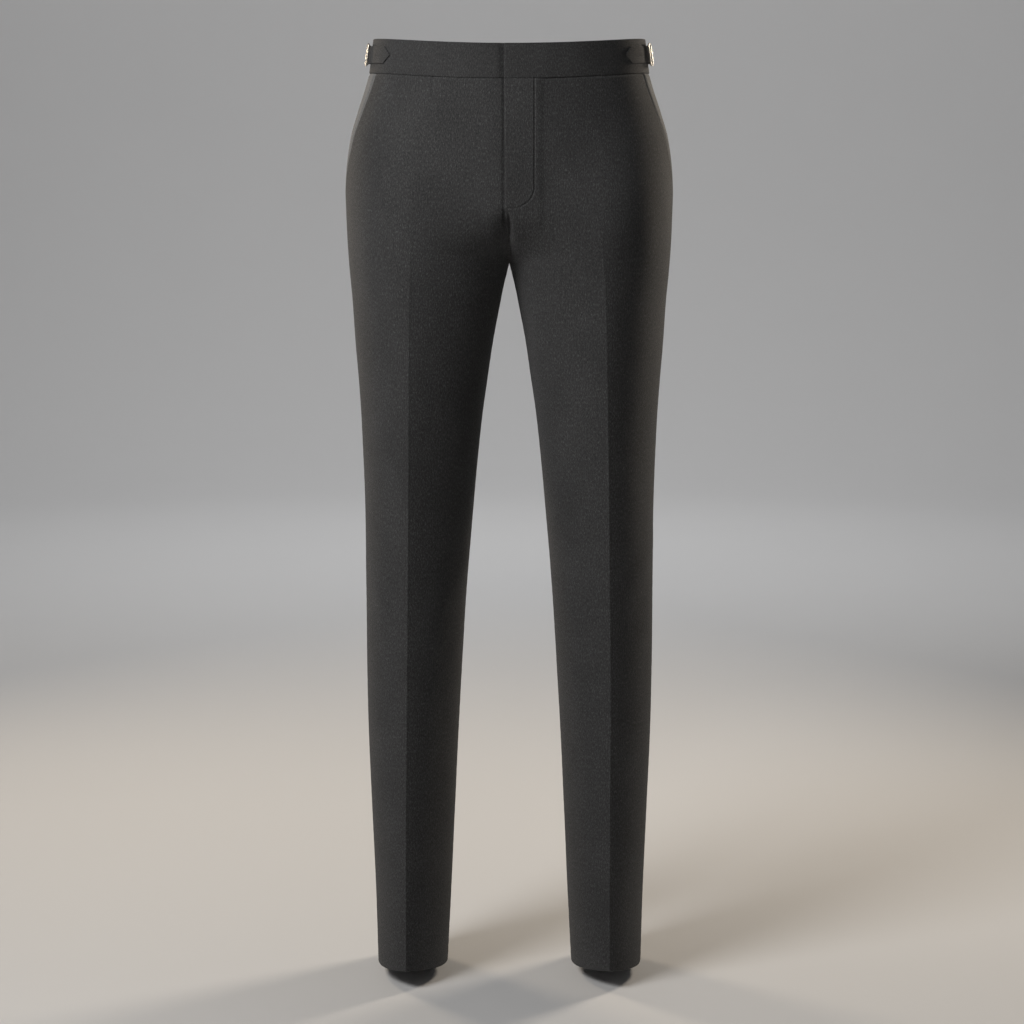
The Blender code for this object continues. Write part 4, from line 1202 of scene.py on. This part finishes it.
def stitchRow(name, kind, lines):
    # lines: lists of points in millimetres, one for each run of stitches
    points, edges = [], []
    for line in lines:
        start = len(points)
        points += [tuple(p) for p in np.asarray(line) * mm]
        edges += [(i, i + 1) for i in range(start, len(points) - 1)]
    mesh = bpy.data.meshes.new(name + "Line")
    mesh.from_pydata(points, edges, [])
    guide = addObject(name + "Line", mesh)
    modifier = guide.modifiers.new("stitches", "NODES")
    modifier.node_group = stitchRows
    settings = {key: value if key == "Seed" else value * mm for key, value in stitches[kind].items()}
    settings["Thread"] = thread
    for item in stitchRows.interface.items_tree:
        if item.in_out == "INPUT" and item.name in settings:
            modifier[item.identifier] = settings[item.name]
    made = bpy.data.meshes.new_from_object(guide.evaluated_get(bpy.context.evaluated_depsgraph_get()))
    made.name = name
    guide.modifiers.clear()
    bpy.data.objects.remove(guide, do_unlink=True)
    keep(addObject(name, made))


def onPanel(side, half, row, around, out):
    base = place(side, half, row, around)
    height = clothHeight(side, half, np.asarray(row, float), np.asarray(around, float), base) + out
    return base + outward(side, half, row, around) * height[..., None]


def flyStitches():
    values = stitchLines["fly"]
    path = flyStitchPath()
    run = runAlong(path)
    at = np.linspace(0, run[-1], round(run[-1] / values["step"]) + 1)[values["skip"]:]
    x, z = (np.interp(at, run, column) for column in path.T)
    row = np.linspace(*values["rows"], len(at))
    for _ in range(12):   # row and around where the surface has this x and z
        around = aroundAt(1, front, row, x)
        row = solve(lambda r: place(1, front, r, around)[..., 2], z, 0, 0.95)
    stitchRow("flyStitches", "fly", [onPanel(1, front, row, around, values["out"])])


def hemStitches(sideName):
    values = stitchLines["hem"]
    row = np.full(values["points"], 2 - (cut["turnUp"] - values["belowTurnUp"]) / legLength)
    around = np.linspace(*values["around"], values["points"])
    stitchRow("hemStitches" + sideName, "hem",
              [onPanel(sides[sideName], half, row, around, values["out"]) for half in (front, back)])


def pocketStitches(sideName):
    # on the facing, beside the side seam
    side, values = sides[sideName], stitchLines["pocket"]
    rows = np.linspace(*values["rows"], values["points"])
    mouth = mouthAround(rows)
    around = np.minimum(values["fromSeam"] / spacing["sideToCrease"][-1][0], mouth * values["most"])
    base = place(side, front, rows, around)
    height = plainHeight(side, front, rows, base) - facingDepth(rows, around, mouth) + values["out"]
    line = base + outward(side, front, rows, around) * height[..., None]
    stitchRow("pocketStitches" + sideName, "pocket", [line])


def strapStitches(sideName):
    # two small crosses of thread that hold the strap's point
    values = stitchLines["strap"]
    out = adjuster["strapOut"] + adjuster["strapCloth"] / 2 + values["out"]
    reach = values["reach"]
    lines = [[atBuckle(sides[sideName], along + slant * s, s, out) for s in (-reach, 0, reach)]
             for along in values["along"] for slant in (1, -1)]
    stitchRow("strapStitches" + sideName, "strap", lines)


stitchRows = stitchTree()
flyStitches()
for sewOn in (hemStitches, pocketStitches, strapStitches):
    for sideName in sides:
        sewOn(sideName)

# each piece's finish, body and node; the cut table is looked up but nothing is made from it

finishes = {  # finish, slot and the node's name
    "front": (wool, "wool", "front"),
    "back": (wool, "wool", "back"),
    "waistband": (bandWool, "band_cloth", "waistband"),
    # the pocket facings take the wool with the painted rim light
    "pocketFacing": (pocketWoolPaintedRimLight, "trim_cloth", "pocket_facing"),
    "adjusterStrap": (trimWool, "trim_cloth", "adjuster_strap"),
    "adjusterKeeper": (trimWool, "trim_cloth", "adjuster_keeper"),
    "buckle": (nickel, "metal", "adjuster_buckle"),
    "hemStitches": (thread, "wool", None),
    "pocketStitches": (thread, "trim_cloth", None),
    "strapStitches": (thread, "trim_cloth", None),
}
# width, length and area in metres, how it is held, and the stitches on it; the rest hangs from the band
cuts = {
    "front": (0.330, 1.017, 0.237, "hung", "hemStitches"),
    "back": (0.386, 1.053, 0.253, "hung", None),
    "waistband": (0.042, 0.430, None, "folded", None),
    "pocketFacing": (0.075, 0.165, 0.0095, "hung", "pocketStitches"),
    "adjusterStrap": (0.019, 0.106, None, "folded", "strapStitches"),
    "adjusterKeeper": (0.012, 0.0135, None, "folded", None),
    "flyFacing": (0.028, 0.138, None, "hung", None),
    "flyShield": (0.042, 0.130, None, "hung", None),
}


def fit(piece, material, node=None):
    piece.data.materials.clear()
    piece.data.materials.append(material)
    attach(piece, "root")
    if node:
        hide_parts(node)


def declareCut(kind, name, sideName):
    width, length, area, held, sewn = cuts[kind]
    sewnOn = [pieces[sewn + sideName]] if sewn else []
    if name == "frontLeft":
        sewnOn.append(pieces["flyStitches"])


for sideName in sides:
    for kind, (material, slotName, node) in finishes.items():
        fit(pieces[kind + sideName], material, node and node + "_" + sideName.lower())
fit(pieces["flyFacing"], trimWool, "fly_facing")
fit(pieces["flyShield"], trimWool, "fly_shield")
fit(pieces["flyStitches"], thread)

for sideName in sides:
    for kind in cuts:
        if kind + sideName in pieces:
            declareCut(kind, kind + sideName, sideName)
declareCut("flyFacing", "flyFacing", "Left")
declareCut("flyShield", "flyShield", "Right")

# studio

studio = {
    "floorZ": -1.062,
    "flatRadius": 4.4,
    "curveRadius": 1.8,
    "wallTop": 4.5,
    "rings": (0.0, 0.6, 1.5, 3.0),
    "sides": 64,
    "colour": (0.66, 0.66, 0.664, 1),
    "grain": (0.6501, 0.6501, 0.65404, 1),
    "room": {"Color": (0.90, 0.91, 0.93, 1), "Strength": 0.004},
}


def studioBowl():
    # a pale floor that curves up all round, so every view has the same plain ground
    flat, curve, floorZ, count = (studio[key] for key in ("flatRadius", "curveRadius", "floorZ", "sides"))
    profile = [(r, floorZ) for r in (*studio["rings"], flat)]
    profile += [(flat + curve * math.sin(t), floorZ + curve * (1 - math.cos(t)))
                for t in np.linspace(0.15, math.pi / 2, 9)]
    profile.append((profile[-1][0], studio["wallTop"]))
    points = [(0, 0, floorZ)]
    for radius, z in profile[1:]:
        points += [(radius * math.cos(t), radius * math.sin(t), z)
                   for t in 2 * math.pi * np.arange(count) / count]
    faces = [(0, 1 + i, 1 + (i + 1) % count) for i in range(count)]
    for ring in range(len(profile) - 2):
        low, high = 1 + ring * count, 1 + (ring + 1) * count
        faces += [(low + i, high + i, high + (i + 1) % count, low + (i + 1) % count) for i in range(count)]
    mesh = bpy.data.meshes.new("studioFloor")
    mesh.from_pydata(points, [], faces)
    mesh.shade_smooth()
    material, n, shader = newMaterial("paleFloor")
    where = n.add("ShaderNodeTexCoord").outputs["Object"]
    grain = n.add("ShaderNodeTexNoise", {"Vector": where, "Scale": 3.0}).outputs["Fac"]
    colour = n.mixColour(grain, studio["grain"], studio["colour"])
    n.fill(shader, {"Base Color": colour, "Roughness": 0.9, "Specular IOR Level": 0.1})
    mesh.materials.append(material)
    addObject("studioFloor", mesh)


lamps = {
    "key": {"at": (-1.20, -1.20, 0.80), "to": (0.0, 0.0, 0.1), "size": 0.9, "power": 33,
            "colour": (1, 0.985, 0.965)},
    "rimLeft": {"at": (-1.12, 1.2, 0.25), "to": (0.0, 0.0, -0.1), "size": 0.4, "power": 10,
                "colour": (1, 0.84, 0.64)},
    "rimRight": {"at": (1.14, 0.95, 0.25), "to": (0.0, 0.0, -0.1), "size": 0.4, "power": 17,
                 "colour": (1, 0.88, 0.73)},
    "floorBehind": {"at": (0.0, 2.6, 2.6), "to": (0.0, 3.4, -1.0), "size": 2.0, "power": 9,
                    "colour": (1, 1, 1), "spread": 90},
}
backdropLamps = {
    "radius": 2.6, "z": 2.4, "aim": 6.2, "aimZ": -0.3, "size": 2.0,
    "power": {(0, 1): 54, (1, 0): 14, (0, -1): 36, (-1, 0): 24},   # by the way each one faces
}


def addLamp(name, at, to, size, power, colour, spread=180):
    lamp = bpy.data.lights.new(name, "AREA")
    lamp.shape, lamp.size, lamp.energy, lamp.color = "DISK", size, power, colour
    lamp.spread = math.radians(spread)
    holder = addObject(name, lamp)
    holder.location = at
    holder.rotation_euler = (Vector(to) - Vector(at)).to_track_quat("-Z", "Y").to_euler()


def lightUp():
    for name, values in lamps.items():
        addLamp(name, **values)
    values = backdropLamps
    for (x, y), power in values["power"].items():   # these face away from the trousers
        addLamp("backdrop", (values["radius"] * x, values["radius"] * y, values["z"]),
                (values["aim"] * x, values["aim"] * y, values["aimZ"]), values["size"], power, (1, 1, 1))
    world = bpy.data.worlds.new("softRoom")
    bpy.context.scene.world = world
    world.use_nodes = True
    Nodes(world.node_tree).fill(world.node_tree.nodes["Background"], studio["room"])
    bpy.context.scene.view_settings.view_transform = "Standard"


view = {"at": (0.003, -2.70, -0.143), "pitch": 7.85, "lens": 83.32, "sensor": 36.0}


def setCamera():
    lens = bpy.data.cameras.new("photoView")
    lens.lens, lens.sensor_width, lens.sensor_fit = view["lens"], view["sensor"], "HORIZONTAL"
    lens.dof.use_dof = False
    camera = addObject("photoView", lens)
    camera.location = view["at"]
    camera.rotation_euler = (math.radians(90 - view["pitch"]), 0, 0)
    bpy.context.scene.camera = camera


studioBowl()
lightUp()
setCamera()
print("studio made")
